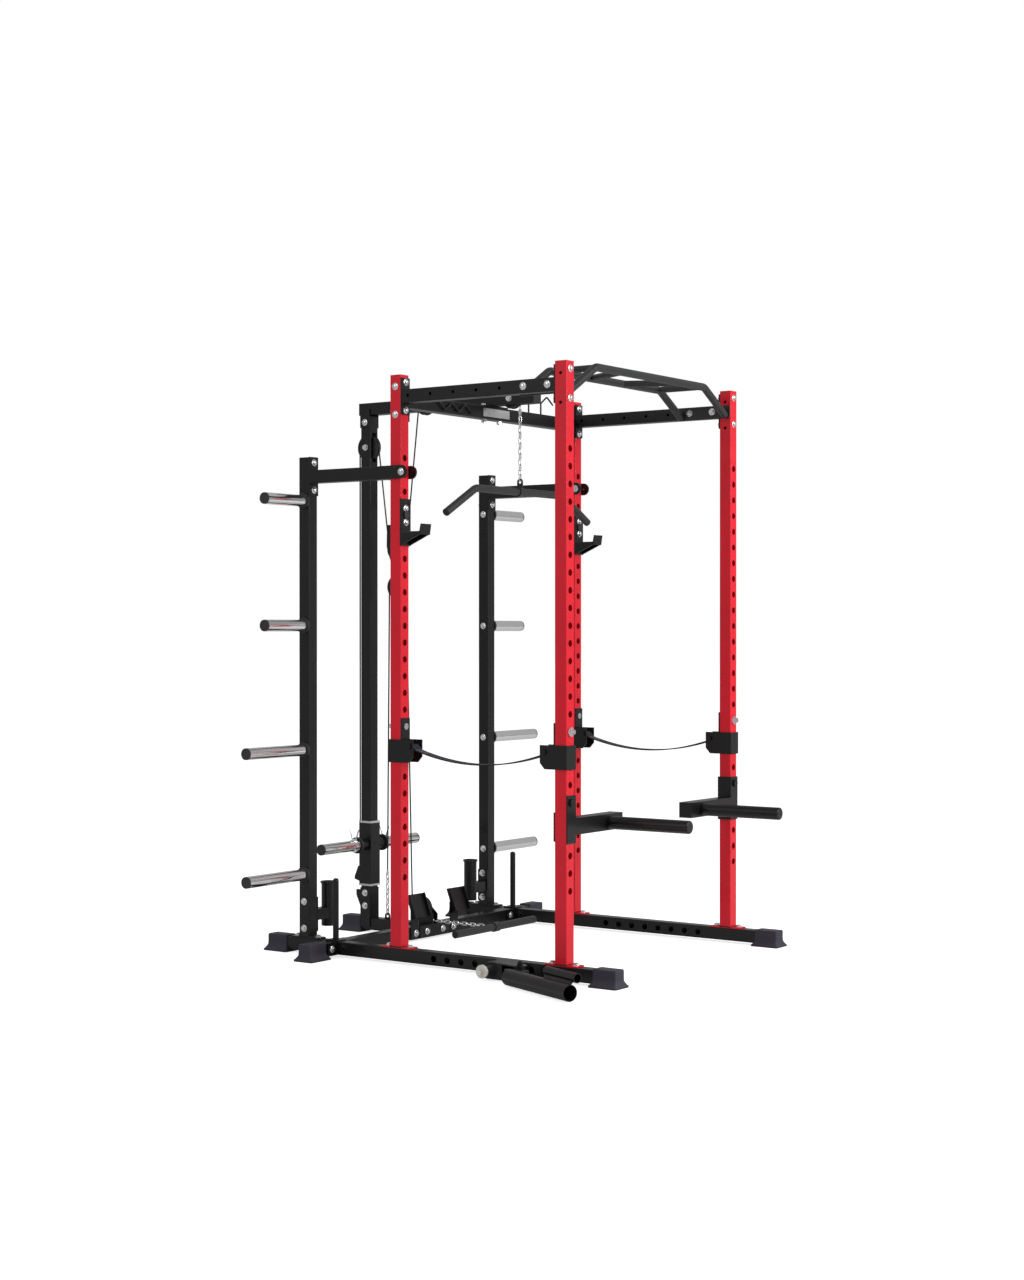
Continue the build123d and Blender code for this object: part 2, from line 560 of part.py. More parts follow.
with BuildPart() as j_hook_liner:
    block((hook_x[0], hook_x[1]), (64, rear_face - plate), (shelf_z, shelf_z + 4))
    with Locations(along((-side_x, rear_face - plate, 1688), (0, -1, 0))):
        Cylinder(14, 6, align=(Align.CENTER, Align.CENTER, Align.MIN))
write_both(j_hook_liner, "j_hook_liners")

# Strap safeties: a bracket round each upright, its pull pin, and webbing between the brackets
strap_pin_z = first_hole_z + 9 * hole_pitch
strap_bolt_z = 820.0
band_z = (759.0, 845.0)


def strap_bracket(face, inward):
    """A bracket round an upright from its outer face, with ears that point inward along Y."""
    outer = face - inward * plate
    ear = face + inward * 111
    inside = face + inward * tube
    with BuildPart() as bracket:
        block((-half_width - plate, -inner_x + plate), sorted((outer, face)), band_z)
        ears = [
            (outer, band_z[0]), (ear - inward * 20, band_z[0]), (ear, band_z[0] + 22),
            (ear, band_z[1]), (outer, band_z[1]),
        ]
        for x in (-half_width - plate, -inner_x):
            side_plate(ears, x, plate)
        block((-half_width, -inner_x), sorted((inside, inside + inward * plate)), (band_z[0] + 60, 925))
        drill([(-side_x, inside, strap_pin_z)], (0, 1, 0), hole_r, 30)
        with Locations(along((-side_x, face + inward * 93, strap_bolt_z), (1, 0, 0))):
            Cylinder(shank_r, 72)
            with Locations((0, 0, -32), (0, 0, 34)):
                Cylinder(10.5, 8)
    return bracket


def strap_pin(side, face, inward):
    """A pull pin through an upright and its bracket, with a round knob outside."""
    with BuildPart() as pin:
        with Locations(along((side * side_x, face, strap_pin_z), (0, inward, 0))):
            Cylinder(hole_r - 0.1, tube + plate + 3, align=(Align.CENTER, Align.CENTER, Align.MIN))
            Cylinder(17, 6, align=(Align.CENTER, Align.CENTER, Align.MAX))
        with Locations(along((side * side_x, face - inward * 6, strap_pin_z), (0, inward, 0))):
            Cylinder(9, 12, align=(Align.CENTER, Align.CENTER, Align.MAX))
    return pin


with BuildPart() as strap_brackets:
    add(strap_bracket(front_face, 1).part)
    add(strap_bracket(rear_face + tube, -1).part)
write_both(strap_brackets, "strap_brackets")
for side, side_name in ((-1, "left"), (1, "right")):
    write(strap_pin(side, front_face, 1), f"strap_pin_front_{side_name}")
    write(strap_pin(side, rear_face + tube, -1), f"strap_pin_rear_{side_name}")

strap_ends = (front_face + 93, rear_face + tube - 93)
strap_middle = sum(strap_ends) / 2
eye_r = shank_r + 0.4
strap_thick = 4.5
strap_eye_z = strap_bolt_z - eye_r - strap_thick / 2
with BuildPart() as safety_strap:
    with BuildSketch(Plane(origin=(-side_x - 22, 0, 0), x_dir=(0, 1, 0), z_dir=(1, 0, 0))):
        with BuildLine():
            top_arc = ThreePointArc(
                (strap_ends[0], strap_eye_z + strap_thick / 2),
                (strap_middle, band_z[0] + strap_thick),
                (strap_ends[1], strap_eye_z + strap_thick / 2),
            )
            Line(top_arc @ 1, (strap_ends[1], strap_eye_z - strap_thick / 2))
            ThreePointArc(
                (strap_ends[1], strap_eye_z - strap_thick / 2),
                (strap_middle, band_z[0]),
                (strap_ends[0], strap_eye_z - strap_thick / 2),
            )
            Line((strap_ends[0], strap_eye_z - strap_thick / 2), top_arc @ 0)
        make_face()
        with Locations(*[(y, strap_bolt_z) for y in strap_ends]):
            Circle(eye_r + strap_thick)
        with Locations(*[(y, strap_bolt_z) for y in strap_ends]):
            Circle(eye_r, mode=Mode.SUBTRACT)
    extrude(amount=44)
write_both(safety_strap, "safety_straps")

# Row station on the cross rail: the pulley's bracket and two foot plates
row_wheel_y, row_wheel_z = wheels["row_wheel"][0]
with BuildPart() as row_bracket:
    plate_y = cross_y - tube / 2 - plate
    block((-100, 100), (plate_y, plate_y + plate), (10, rail_top))
    cheek = [
        (plate_y, 40), (plate_y, 100), (row_wheel_y - 24, 142), (row_wheel_y + 24, 142),
        (row_wheel_y + 28, rail_top), (plate_y + plate, rail_top), (plate_y + plate, 40),
    ]
    for x in (-slot_half - plate, slot_half):
        side_plate(cheek, x, plate)
    drill([(0, row_wheel_y, row_wheel_z)], (1, 0, 0), bolt_hole_r, 60)
    drill([(s * centre_dx[0], plate_y, rail_z) for s in (-1, 1)], (0, 1, 0), bolt_hole_r, 20)

with BuildPart() as foot_plate:
    foot_back = cross_y - tube / 2
    block((-157, -105), (foot_back - 4, foot_back), (10, 150))
    lean = [(foot_back - 38, 102), (foot_back - 4, 193), (foot_back, 193), (foot_back - 34, 102)]
    side_plate(lean, -185.5, 103)
    rim = [(foot_back - 38, 102), (foot_back - 4, 193), (foot_back - 16, 197), (foot_back - 50, 106)]
    for x in (-185.5, -86.5):
        side_plate(rim, x, 4)
    for x in (-150, -116):
        side_plate([(foot_back - 2, 90), (foot_back - 36, 102), (foot_back - 2, 192)], x, 4)
    drill([(-centre_dx[1], foot_back, rail_z)], (0, 1, 0), bolt_hole_r, 20)
with BuildPart() as row_footrest:
    add(row_bracket.part)
    add(foot_plate.part)
    add(mirror(foot_plate.part, about=Plane.YZ, mode=Mode.PRIVATE))
write(row_footrest, "row_footrest")

# Bars that are pulled: the lat bar hangs on its chain, the row bar lies level with its pulley
lat_bar_z = deck + 1736.0
with BuildPart() as lat_bar:
    with BuildLine():
        FilletPolyline(
            (-487.5, lat_y, lat_bar_z - 102), (-297.5, lat_y, lat_bar_z), (297.5, lat_y, lat_bar_z),
            (487.5, lat_y, lat_bar_z - 102), radius=60,
        )
    with BuildSketch(Plane(origin=(-487.5, lat_y, lat_bar_z - 102), z_dir=(190, 0, 102))):
        Circle(bar_r)
    sweep()
    eye((0, lat_y, lat_bar_z + 40), lat_bar_z, (0, 0, 1))
    with Locations(along((0, lat_y, lat_bar_z), (1, 0, 0))):
        Cylinder(19, 34)
write(lat_bar, "lat_bar")

row_line_z = row_wheel_z - 46
with BuildPart() as row_bar:
    with Locations(along((0, row_y, row_line_z), (1, 0, 0))):
        Cylinder(bar_r, 540)
    eye((0, row_y + 34, row_line_z), row_y, (0, 1, 0))
    with Locations(along((0, row_y, row_line_z), (1, 0, 0))):
        Cylinder(19, 34)
write(row_bar, "row_bar")

link_r = 2.3
link_bend = 5.4
link_straight = 15.0
link_reach = link_straight / 2 + link_bend
link_pitch = 2 * (link_reach - link_r) - 0.2


def link():
    """One chain link, long in Z and wide in X."""
    with BuildPart() as one:
        for s in (-1, 1):
            with Locations((s * link_bend, 0, 0)):
                Cylinder(link_r, link_straight)
            with BuildSketch(Plane.XY.offset(s * link_straight / 2)) as section:
                with Locations((link_bend, 0)):
                    Circle(link_r)
            bend_axis = Axis((0, 0, s * link_straight / 2), (0, 1, 0))
            revolve(section.sketch, axis=bend_axis, revolution_arc=-180 * s)
    return one


def chain(start, axis, count):
    """Links that pull straight from a lug's hole, then the eye of the cable that goes on from them."""
    one = link()
    run = Plane(origin=start, x_dir=(1, 0, 0), z_dir=axis)
    first = 7 - link_r - 1.4 + link_reach
    for k in range(count):
        turned = Location((0, 0, 0), (0, 0, 90 * (k % 2)))
        add(one.part.moved(run.offset(first + k * link_pitch).location * turned))
    last = first + link_reach + (count - 1) * link_pitch
    loop = run.offset(last - 2 * link_r - 0.1 + 6).location
    with Locations(loop * Location((0, 0, 0), (0, 0, 90 * (count % 2))) * Location((0, 0, 0), (90, 0, 0))):
        Torus(6, link_r)
    with Locations(run.offset(last + 6).location):
        Cylinder(4, 12, align=(Align.CENTER, Align.CENTER, Align.MIN))
    return last + 18


# Chains: each starts in a lug and ends in the swaged eye of a cable
with BuildPart() as lat_chain:
    lat_cable_z = lat_bar_z + 40 + chain((0, lat_y, lat_bar_z + 40), (0, 0, 1), 13)
write(lat_chain, "lat_chain")

with BuildPart() as row_chain:
    row_cable_y = row_y + 34 + chain((0, row_y + 34, row_line_z), (0, 1, 0), 13)
write(row_chain, "row_chain")

with BuildPart() as anchor_chain:
    anchor_cable_z = rail_top + 12 + chain((0, anchor_y, rail_top + 12), (0, 0, 1), 8)
write(anchor_chain, "anchor_chain")


def span(a, a_reach, b, b_reach):
    """The straight cable between two wheels as its end points and its normal. A reach is the
    radius that the cable turns at, positive on the wheel's rear side, negative on its front."""
    gap = Vector(*b) - Vector(*a)
    lean = degrees(acos((a_reach - b_reach) / gap.length))
    normals = [gap.normalized().rotate(Axis.Z, turn) for turn in (lean, -lean)]
    normal = max(normals, key=lambda n: n.X)
    return Vector(*a) + normal * a_reach, Vector(*b) + normal * b_reach, normal


def cable(path):
    """A round cable along a path."""
    with BuildSketch(Plane(origin=path @ 0, z_dir=path % 0)) as section:
        Circle(cable_r)
    sweep(section.sketch, path=path)


def straight_cable(a, b, label):
    """One straight stretch of cable between two (y, z) points, in its own node."""
    with BuildPart() as stretch:
        with BuildLine(Plane.YZ) as line:
            Line((a.X, a.Y), (b.X, b.Y))
        cable(line.line)
    write(stretch, label)


# Cables, in the middle plane. One runs from the lat bar over the beam's wheels, under the
# block's upper wheel and over the mast to the carriage. The other runs from the anchor chain
# over the block's lower wheel and under the row wheel to the row bar.
turn = {name: radius - 4 for name, (place, radius) in wheels.items()}
centre = {name: place for name, (place, radius) in wheels.items()}
rear, upper, lower = centre["lat_wheel_rear"], centre["block_wheel_upper"], centre["block_wheel_lower"]
block_turn = turn["block_wheel_upper"]
front_fall = span(rear, turn["lat_wheel_rear"], upper, -block_turn)
rear_rise = span(upper, block_turn, centre["mast_wheel"], -turn["mast_wheel"])
row_fall = span(lower, -block_turn, centre["row_wheel"], turn["row_wheel"])
anchor_rise = span((anchor_y, anchor_cable_z + 0.3), 0, lower, block_turn)


def angle(vector):
    """Direction of a (y, z) vector, in degrees from +Y towards +Z."""
    return degrees(atan2(vector.Y, vector.X))


with BuildPart() as cable_turns:
    with BuildLine(Plane.YZ) as over_beam:
        front, reach = centre["lat_wheel_front"], turn["lat_wheel_front"]
        CenterArc(front, reach, 180, -90)
        Line((front[0], front[1] + reach), (rear[0], rear[1] + reach))
        CenterArc(rear, reach, 90, angle(front_fall[2]) - 90)
    cable(over_beam.line)
    with BuildLine(Plane.YZ) as over_mast:
        start = angle(rear_rise[2]) + 180
        CenterArc(centre["mast_wheel"], turn["mast_wheel"], start, -start)
    cable(over_mast.line)
    with BuildLine(Plane.YZ) as under_row:
        start = angle(row_fall[2])
        CenterArc(centre["row_wheel"], turn["row_wheel"], start, -90 - start)
    cable(under_row.line)
write(cable_turns, "cable_turns")

with BuildPart() as block_cable_turns:
    with BuildLine(Plane.YZ) as under_block:
        start = angle(front_fall[2]) + 180
        CenterArc(upper, block_turn, start, 360 + angle(rear_rise[2]) - start)
    cable(under_block.line)
    with BuildLine(Plane.YZ) as over_block:
        start = angle(anchor_rise[2])
        CenterArc(lower, block_turn, start, 180 + angle(row_fall[2]) - start)
    cable(over_block.line)
write(block_cable_turns, "block_cable_turns")

with BuildPart() as cable_block_upper:
    for stretch in (front_fall, rear_rise):
        with BuildLine(Plane.YZ) as line:
            Line((stretch[0].X, stretch[0].Y), (stretch[1].X, stretch[1].Y))
        cable(line.line)
write(cable_block_upper, "cable_block_upper")

with BuildPart() as cable_block_lower:
    for stretch in (row_fall, anchor_rise):
        with BuildLine(Plane.YZ) as line:
            Line((stretch[0].X, stretch[0].Y), (stretch[1].X, stretch[1].Y))
        cable(line.line)
write(cable_block_lower, "cable_block_lower")

carriage_eye_y = mast_y + turn["mast_wheel"]
straight_cable(Vector(lat_y, lat_beam_z), Vector(lat_y, lat_cable_z), "cable_lat_drop")
carriage_fall = (Vector(carriage_eye_y, centre["mast_wheel"][1]), Vector(carriage_eye_y, carriage_top))
straight_cable(*carriage_fall, "cable_carriage_fall")
straight_cable(Vector(row_wheel_y, row_line_z), Vector(row_cable_y, row_line_z), "cable_row_draw")

# Landmine on the left rail: a pin through the rail, a block that tips up on it, and a swivelling
# socket tube for the end of a barbell, with a short storage tube beside it
pin_y = -1 - 5 * hole_pitch
swivel_x, swivel_y = -702.5, -451.5
socket_yaw = 22.6
base_x = (-712.5, -627.5)
landmine_pin_r = 12.0
with BuildPart() as landmine_pin:
    with Locations(along((-527.5, pin_y, rail_z), (-1, 0, 0))):
        Cylinder(landmine_pin_r, 215, align=(Align.CENTER, Align.CENTER, Align.MIN))
    with Locations(along((-inner_x, pin_y, rail_z), (1, 0, 0))):
        Cylinder(19, 4, align=(Align.CENTER, Align.CENTER, Align.MIN))
        Cylinder(16, 22, align=(Align.CENTER, Align.CENTER, Align.MIN))
    with Locations(along((-half_width, pin_y, rail_z), (-1, 0, 0))):
        Cylinder(20, 9.7, align=(Align.CENTER, Align.CENTER, Align.MIN))
    with Locations(along((base_x[0] - 0.3, pin_y, rail_z), (-1, 0, 0))):
        Cylinder(17, 24, align=(Align.CENTER, Align.CENTER, Align.MIN))
    with Locations(along((base_x[0] - 30, pin_y, rail_z), (-1, 0, 0))):
        Cylinder(24, 8, align=(Align.CENTER, Align.CENTER, Align.MIN))
        Cylinder(9, 24, align=(Align.CENTER, Align.CENTER, Align.MIN))
write(landmine_pin, "landmine_pin")

with BuildPart() as landmine_base:
    block(base_x, (-378.5, pin_y), (5, 65))
    with Locations(along((sum(base_x) / 2, pin_y, rail_z), (1, 0, 0))):
        Cylinder(30, base_x[1] - base_x[0])
    block((base_x[0] + 8, base_x[1] - 8), (-378.5, pin_y + 20), (12, 58), Mode.SUBTRACT)
    with Locations(along((sum(base_x) / 2, pin_y, rail_z), (1, 0, 0))):
        Cylinder(19, base_x[1] - base_x[0])
        Cylinder(landmine_pin_r + 0.05, 2 * (base_x[1] - base_x[0]), mode=Mode.SUBTRACT)
    for z in (5, 60):
        with BuildSketch(Plane.XY.offset(z)):
            with BuildLine():
                Polyline(
                    (base_x[0], -372), (base_x[1], -372), (swivel_x + 22, -463), (swivel_x - 22, -463),
                    (swivel_x - 25, -449), close=True,
                )
            make_face()
            with Locations((swivel_x, swivel_y)):
                Circle(25)
        extrude(amount=5)
    drill([(swivel_x, swivel_y, rail_z)], (0, 0, 1), bolt_hole_r, 100)
    with Locations((swivel_x, swivel_y, 1)):
        Cylinder(shank_r, 80, align=(Align.CENTER, Align.CENTER, Align.MIN))
        Cylinder(10, 4, align=(Align.CENTER, Align.CENTER, Align.MIN))
    with Locations((swivel_x, swivel_y, 65)):
        Cylinder(13, 2, align=(Align.CENTER, Align.CENTER, Align.MIN))
        Cylinder(10, 11, align=(Align.CENTER, Align.CENTER, Align.MIN))
write(landmine_base, "landmine_base")

# Socket in its own frame first: X along the tube, Y inboard, Z up from the swivel bolt
socket_z = 32.0
socket_dy = -67.0
socket_x = (30.0, 419.0)
short_dy, short_z = -27.0, 77.0
with BuildPart() as socket:
    with Locations((0, 0, rail_z)):
        Cylinder(22, 49)
    block((-14, 72), (socket_dy + 10, -8), (15, 55))
    with BuildSketch(Plane.YZ.offset(225)):
        with BuildLine():
            Polyline(
                (socket_dy - 5, socket_z), (socket_dy + 5, socket_z), (short_dy + 5, short_z),
                (short_dy - 5, short_z), close=True,
            )
        make_face()
    extrude(amount=165)
    with Locations(along((socket_x[0], socket_dy, socket_z), (1, 0, 0))):
        Cylinder(29, socket_x[1] - socket_x[0], align=(Align.CENTER, Align.CENTER, Align.MIN))
    with Locations(along((215, short_dy, short_z), (1, 0, 0))):
        Cylinder(17, 190, align=(Align.CENTER, Align.CENTER, Align.MIN))
        Cylinder(14, 190, align=(Align.CENTER, Align.CENTER, Align.MIN), mode=Mode.SUBTRACT)
    with Locations(along((socket_x[0] + 60, socket_dy, socket_z), (1, 0, 0))):
        Cylinder(26, 400, align=(Align.CENTER, Align.CENTER, Align.MIN), mode=Mode.SUBTRACT)
    with Locations((0, 0, rail_z)):
        Cylinder(shank_r + 0.05, 60, mode=Mode.SUBTRACT)
with BuildPart() as landmine_socket:
    along_tube = (-sin(radians(socket_yaw)), -cos(radians(socket_yaw)), 0)
    add(socket.part.moved(Plane(origin=(swivel_x, swivel_y, 0), x_dir=along_tube, z_dir=(0, 0, 1)).location))
write(landmine_socket, "landmine_socket")


def bolt(grip, nut=True):
    """A bolt along +Z with its head's underside at the origin, washers and, past the grip, a nut."""
    with BuildPart() as one:
        Cylinder(shank_r, grip + (14 if nut else 0), align=(Align.CENTER, Align.CENTER, Align.MIN))
        Cylinder(13, 2, align=(Align.CENTER, Align.CENTER, Align.MAX))
        with BuildSketch(Plane.XY.offset(-2)) as head:
            RegularPolygon(9.5, 6, major_radius=False)
        extrude(head.sketch, amount=-7)
        if nut:
            with BuildSketch(Plane.XY.offset(grip)) as hexagon:
                RegularPolygon(9.5, 6, major_radius=False)
            extrude(hexagon.sketch, amount=10)
    return one


# Every bolt that holds the frame together
bolt_sets = [
    (front_bolts + rear_bolts, (0, 1, 0), tube + plate, True),
    (crossbeam_bolts + holder_bolts + grip_bolts, (1, 0, 0), tube + plate, True),
    (foot_bolts, (0, 0, -1), plate + wall, True),
    (rail_bolts, (0, 1, 0), tube + 2 * plate, True),
    ([(-centre_dx[0], cross_y - 30, rail_z)], (0, 1, 0), tube + 2 * plate, True),
    ([(-centre_dx[1], cross_y - 29, rail_z)], (0, 1, 0), tube + 4, True),
    (arm_bolts, (0, 1, 0), tube + plate, True),
    ([(-half_width - 8, ear_y, arm_z)], (1, 0, 0), tube + 16, True),
    (peg_bolts, (-1, 0, 0), tube + 18, False),
    ([(-51.5, rear_y, lat_beam_z - 25)], (0, 0, -1), tube + plate, True),
]
with BuildPart() as frame_bolts:
    for points, axis, grip, nut in bolt_sets:
        with Locations([along(p, axis) for p in points]):
            add(bolt(grip, nut).part)
    with Locations([along((-side_x, rear_face - plate, z), (0, 1, 0)) for z in (hook_pin_z, 1660)]):
        Cylinder(8, 4, align=(Align.CENTER, Align.CENTER, Align.MAX))
    mirror(about=Plane.YZ)
    with Locations([along(p, (1, 0, 0)) for p in mast_bolts]):
        add(bolt(tube + 2 * plate).part)
write(frame_bolts, "frame_bolts")
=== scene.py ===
import json
import math

import bmesh
import bpy
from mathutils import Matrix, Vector


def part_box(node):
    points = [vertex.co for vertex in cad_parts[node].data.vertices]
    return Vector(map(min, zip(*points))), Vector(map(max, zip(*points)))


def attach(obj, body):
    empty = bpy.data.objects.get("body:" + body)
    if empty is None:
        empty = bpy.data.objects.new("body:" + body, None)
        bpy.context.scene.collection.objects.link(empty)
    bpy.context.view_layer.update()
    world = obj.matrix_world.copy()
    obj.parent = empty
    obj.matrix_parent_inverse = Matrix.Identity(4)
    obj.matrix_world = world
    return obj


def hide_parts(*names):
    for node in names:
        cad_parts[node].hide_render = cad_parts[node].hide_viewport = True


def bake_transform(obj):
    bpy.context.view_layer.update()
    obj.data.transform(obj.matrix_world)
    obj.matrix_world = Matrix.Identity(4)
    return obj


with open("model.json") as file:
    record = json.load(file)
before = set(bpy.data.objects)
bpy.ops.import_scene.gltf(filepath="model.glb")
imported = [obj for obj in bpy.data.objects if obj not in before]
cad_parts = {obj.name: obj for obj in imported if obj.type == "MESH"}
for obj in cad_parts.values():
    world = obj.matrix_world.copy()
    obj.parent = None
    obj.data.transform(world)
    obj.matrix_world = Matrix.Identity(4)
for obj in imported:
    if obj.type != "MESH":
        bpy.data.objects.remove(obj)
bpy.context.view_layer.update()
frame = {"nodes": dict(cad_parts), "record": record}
nodes = frame["nodes"]
X, Y, Z = Vector((1, 0, 0)), Vector((0, 1, 0)), Vector((0, 0, 1))

# Sizes that the frame alone doesn't say, in metres
hole_start = 0.3265
hole_pitch = 0.063
hole_count = 26
hole_radius = 0.0125
cable_radius = 0.003
link_wire = 0.0023
bolt_radius = 0.006
washer_radius = 0.014
strap_ply = 0.0022
ply_gap = 0.0005
knob_hub = 0.016
knob_plate = 0.008
knob_proud = 0.0003


# ---------------------------------------------------------------- shader groups

def new_group(name, inputs, outputs):
    """An empty shader group with named sockets."""
    group = bpy.data.node_groups.new(name, "ShaderNodeTree")
    for label, kind, value in inputs:
        socket = group.interface.new_socket(label, in_out="INPUT", socket_type=kind)
        if value is not None:
            socket.default_value = value
    for label, kind in outputs:
        group.interface.new_socket(label, in_out="OUTPUT", socket_type=kind)
    return group, group.nodes.new("NodeGroupInput"), group.nodes.new("NodeGroupOutput")


def add(tree, kind, values=(), **settings):
    """A node with its settings and the values or links of its inputs."""
    node = tree.nodes.new(kind)
    for key, value in settings.items():
        setattr(node, key, value)
    for key, value in dict(values).items():
        if isinstance(value, bpy.types.NodeSocket):
            tree.links.new(value, node.inputs[key])
        else:
            node.inputs[key].default_value = value
    return node


def coat_group():
    """Powder coat: a fine orange peel, slow changes of tone and thin rubbed places."""
    group, given, out = new_group(
        "powder_coat",
        [
            ("Vector", "NodeSocketVector", None),
            ("Colour", "NodeSocketColor", None),
            ("Rubbed Colour", "NodeSocketColor", None),
            ("Roughness", "NodeSocketFloat", 0.3),
            ("Peel Scale", "NodeSocketFloat", 900.0),
        ],
        [("Colour", "NodeSocketColor"), ("Roughness", "NodeSocketFloat"), ("Height", "NodeSocketFloat")],
    )
    peel = add(group, "ShaderNodeTexNoise", {"Vector": given.outputs["Vector"], "Scale": given.outputs["Peel Scale"]})
    tone = add(group, "ShaderNodeTexNoise", {"Vector": given.outputs["Vector"], "Scale": 5.0, "Detail": 3.0})
    rub = add(group, "ShaderNodeTexNoise", {"Vector": given.outputs["Vector"], "Scale": 38.0, "Detail": 7.0})
    rubbed = add(group, "ShaderNodeMapRange", {0: rub.outputs[0], 1: 0.66, 2: 0.74, 3: 0.0, 4: 0.35})
    shade = add(group, "ShaderNodeMapRange", {0: tone.outputs[0], 1: 0.3, 2: 0.7, 3: 0.92, 4: 1.06})
    toned = add(group, "ShaderNodeVectorMath", {0: given.outputs["Colour"]}, operation="SCALE")
    group.links.new(shade.outputs[0], toned.inputs["Scale"])
    mix = add(group, "ShaderNodeMix", {"Factor": rubbed.outputs[0]}, data_type="RGBA")
    group.links.new(toned.outputs[0], mix.inputs[6])
    group.links.new(given.outputs["Rubbed Colour"], mix.inputs[7])
    rough = add(group, "ShaderNodeMath", {0: rubbed.outputs[0], 1: 0.5, 2: given.outputs["Roughness"]}, operation="MULTIPLY_ADD")
    group.links.new(mix.outputs[2], out.inputs["Colour"])
    group.links.new(rough.outputs[0], out.inputs["Roughness"])
    group.links.new(peel.outputs[0], out.inputs["Height"])
    return group


def grain_group():
    """Grain of moulded rubber or plastic, with dust that settles on what faces up."""
    group, given, out = new_group(
        "moulded_grain",
        [
            ("Vector", "NodeSocketVector", None),
            ("Colour", "NodeSocketColor", None),
            ("Dust Colour", "NodeSocketColor", None),
            ("Grain Scale", "NodeSocketFloat", 700.0),
            ("Dust", "NodeSocketFloat", 0.2),
        ],
        [("Colour", "NodeSocketColor"), ("Height", "NodeSocketFloat")],
    )
    cells = add(group, "ShaderNodeTexVoronoi", {"Vector": given.outputs["Vector"], "Scale": given.outputs["Grain Scale"]})
    cloud = add(group, "ShaderNodeTexNoise", {"Vector": given.outputs["Vector"], "Scale": 25.0, "Detail": 6.0})
    place = add(group, "ShaderNodeNewGeometry")
    parts = add(group, "ShaderNodeSeparateXYZ", {0: place.outputs["Normal"]})
    up = add(group, "ShaderNodeMapRange", {0: parts.outputs["Z"], 1: 0.5, 2: 1.0, 3: 0.15, 4: 1.0})
    mask = add(group, "ShaderNodeMath", {0: up.outputs[0], 1: cloud.outputs[0]}, operation="MULTIPLY")
    amount = add(group, "ShaderNodeMath", {0: mask.outputs[0], 1: given.outputs["Dust"]}, operation="MULTIPLY")
    mix = add(group, "ShaderNodeMix", {"Factor": amount.outputs[0]}, data_type="RGBA")
    group.links.new(given.outputs["Colour"], mix.inputs[6])
    group.links.new(given.outputs["Dust Colour"], mix.inputs[7])
    group.links.new(mix.outputs[2], out.inputs["Colour"])
    group.links.new(cells.outputs["Distance"], out.inputs["Height"])
    return group


def metal_group():
    """Bright metal: drawn lines along one axis, faint stains and a slow change of tone."""
    group, given, out = new_group(
        "bright_metal",
        [
            ("Vector", "NodeSocketVector", None),
            ("Colour", "NodeSocketColor", None),
            ("Stain Colour", "NodeSocketColor", None),
            ("Roughness", "NodeSocketFloat", 0.15),
        ],
        [("Colour", "NodeSocketColor"), ("Roughness", "NodeSocketFloat"), ("Height", "NodeSocketFloat")],
    )
    stretch = add(group, "ShaderNodeVectorMath", {0: given.outputs["Vector"], 1: (40, 900, 900)}, operation="MULTIPLY")
    lines = add(group, "ShaderNodeTexNoise", {"Vector": stretch.outputs[0], "Scale": 1.0})
    cloud = add(group, "ShaderNodeTexNoise", {"Vector": given.outputs["Vector"], "Scale": 60.0, "Detail": 5.0})
    stain = add(group, "ShaderNodeMapRange", {0: cloud.outputs[0], 1: 0.5, 2: 0.8, 3: 0.0, 4: 0.5})
    mix = add(group, "ShaderNodeMix", {"Factor": stain.outputs[0]}, data_type="RGBA")
    group.links.new(given.outputs["Colour"], mix.inputs[6])
    group.links.new(given.outputs["Stain Colour"], mix.inputs[7])
    rough = add(group, "ShaderNodeMath", {0: stain.outputs[0], 1: 0.3, 2: given.outputs["Roughness"]}, operation="MULTIPLY_ADD")
    group.links.new(mix.outputs[2], out.inputs["Colour"])
    group.links.new(rough.outputs[0], out.inputs["Roughness"])
    group.links.new(lines.outputs[0], out.inputs["Height"])
    return group


powder_coat = coat_group()
moulded_grain = grain_group()
bright_metal = metal_group()


# ---------------------------------------------------------------- materials

def finish_from(name, group, values, plain, relief):
    """A material whose Principled shader takes its colour, roughness and relief from a group."""
    made = bpy.data.materials.new(name)
    made.use_nodes = True
    tree = made.node_tree
    shader = tree.nodes["Principled BSDF"]
    place = add(tree, "ShaderNodeTexCoord")
    finish = add(tree, "ShaderNodeGroup", {}, node_tree=group)
    tree.links.new(place.outputs["Object"], finish.inputs["Vector"])
    for key, value in values.items():
        finish.inputs[key].default_value = (*value, 1.0) if isinstance(value, tuple) else value
    for key, value in plain.items():
        shader.inputs[key].default_value = value
    tree.links.new(finish.outputs["Colour"], shader.inputs["Base Color"])
    if "Roughness" in finish.outputs:
        tree.links.new(finish.outputs["Roughness"], shader.inputs["Roughness"])
    bump = add(tree, "ShaderNodeBump", {"Height": finish.outputs["Height"], "Strength": relief, "Distance": 0.0003})
    tree.links.new(bump.outputs[0], shader.inputs["Normal"])
    return made


def coat(name, colour, rubbed, roughness, gloss, relief=0.12):
    return finish_from(
        name, powder_coat, {"Colour": colour, "Rubbed Colour": rubbed, "Roughness": roughness},
        {"Coat Weight": gloss, "Coat Roughness": 0.08, "Specular IOR Level": 0.3}, relief,
    )


def moulded(name, colour, roughness, dust=0.2, grain=700.0, relief=0.3):
    return finish_from(
        name, moulded_grain, {"Colour": colour, "Dust Colour": (0.35, 0.33, 0.31), "Grain Scale": grain, "Dust": dust},
        {"Roughness": roughness}, relief,
    )


def metal(name, colour, stain, roughness, relief=0.05):
    return finish_from(
        name, bright_metal, {"Colour": colour, "Stain Colour": stain, "Roughness": roughness}, {"Metallic": 1.0}, relief,
    )


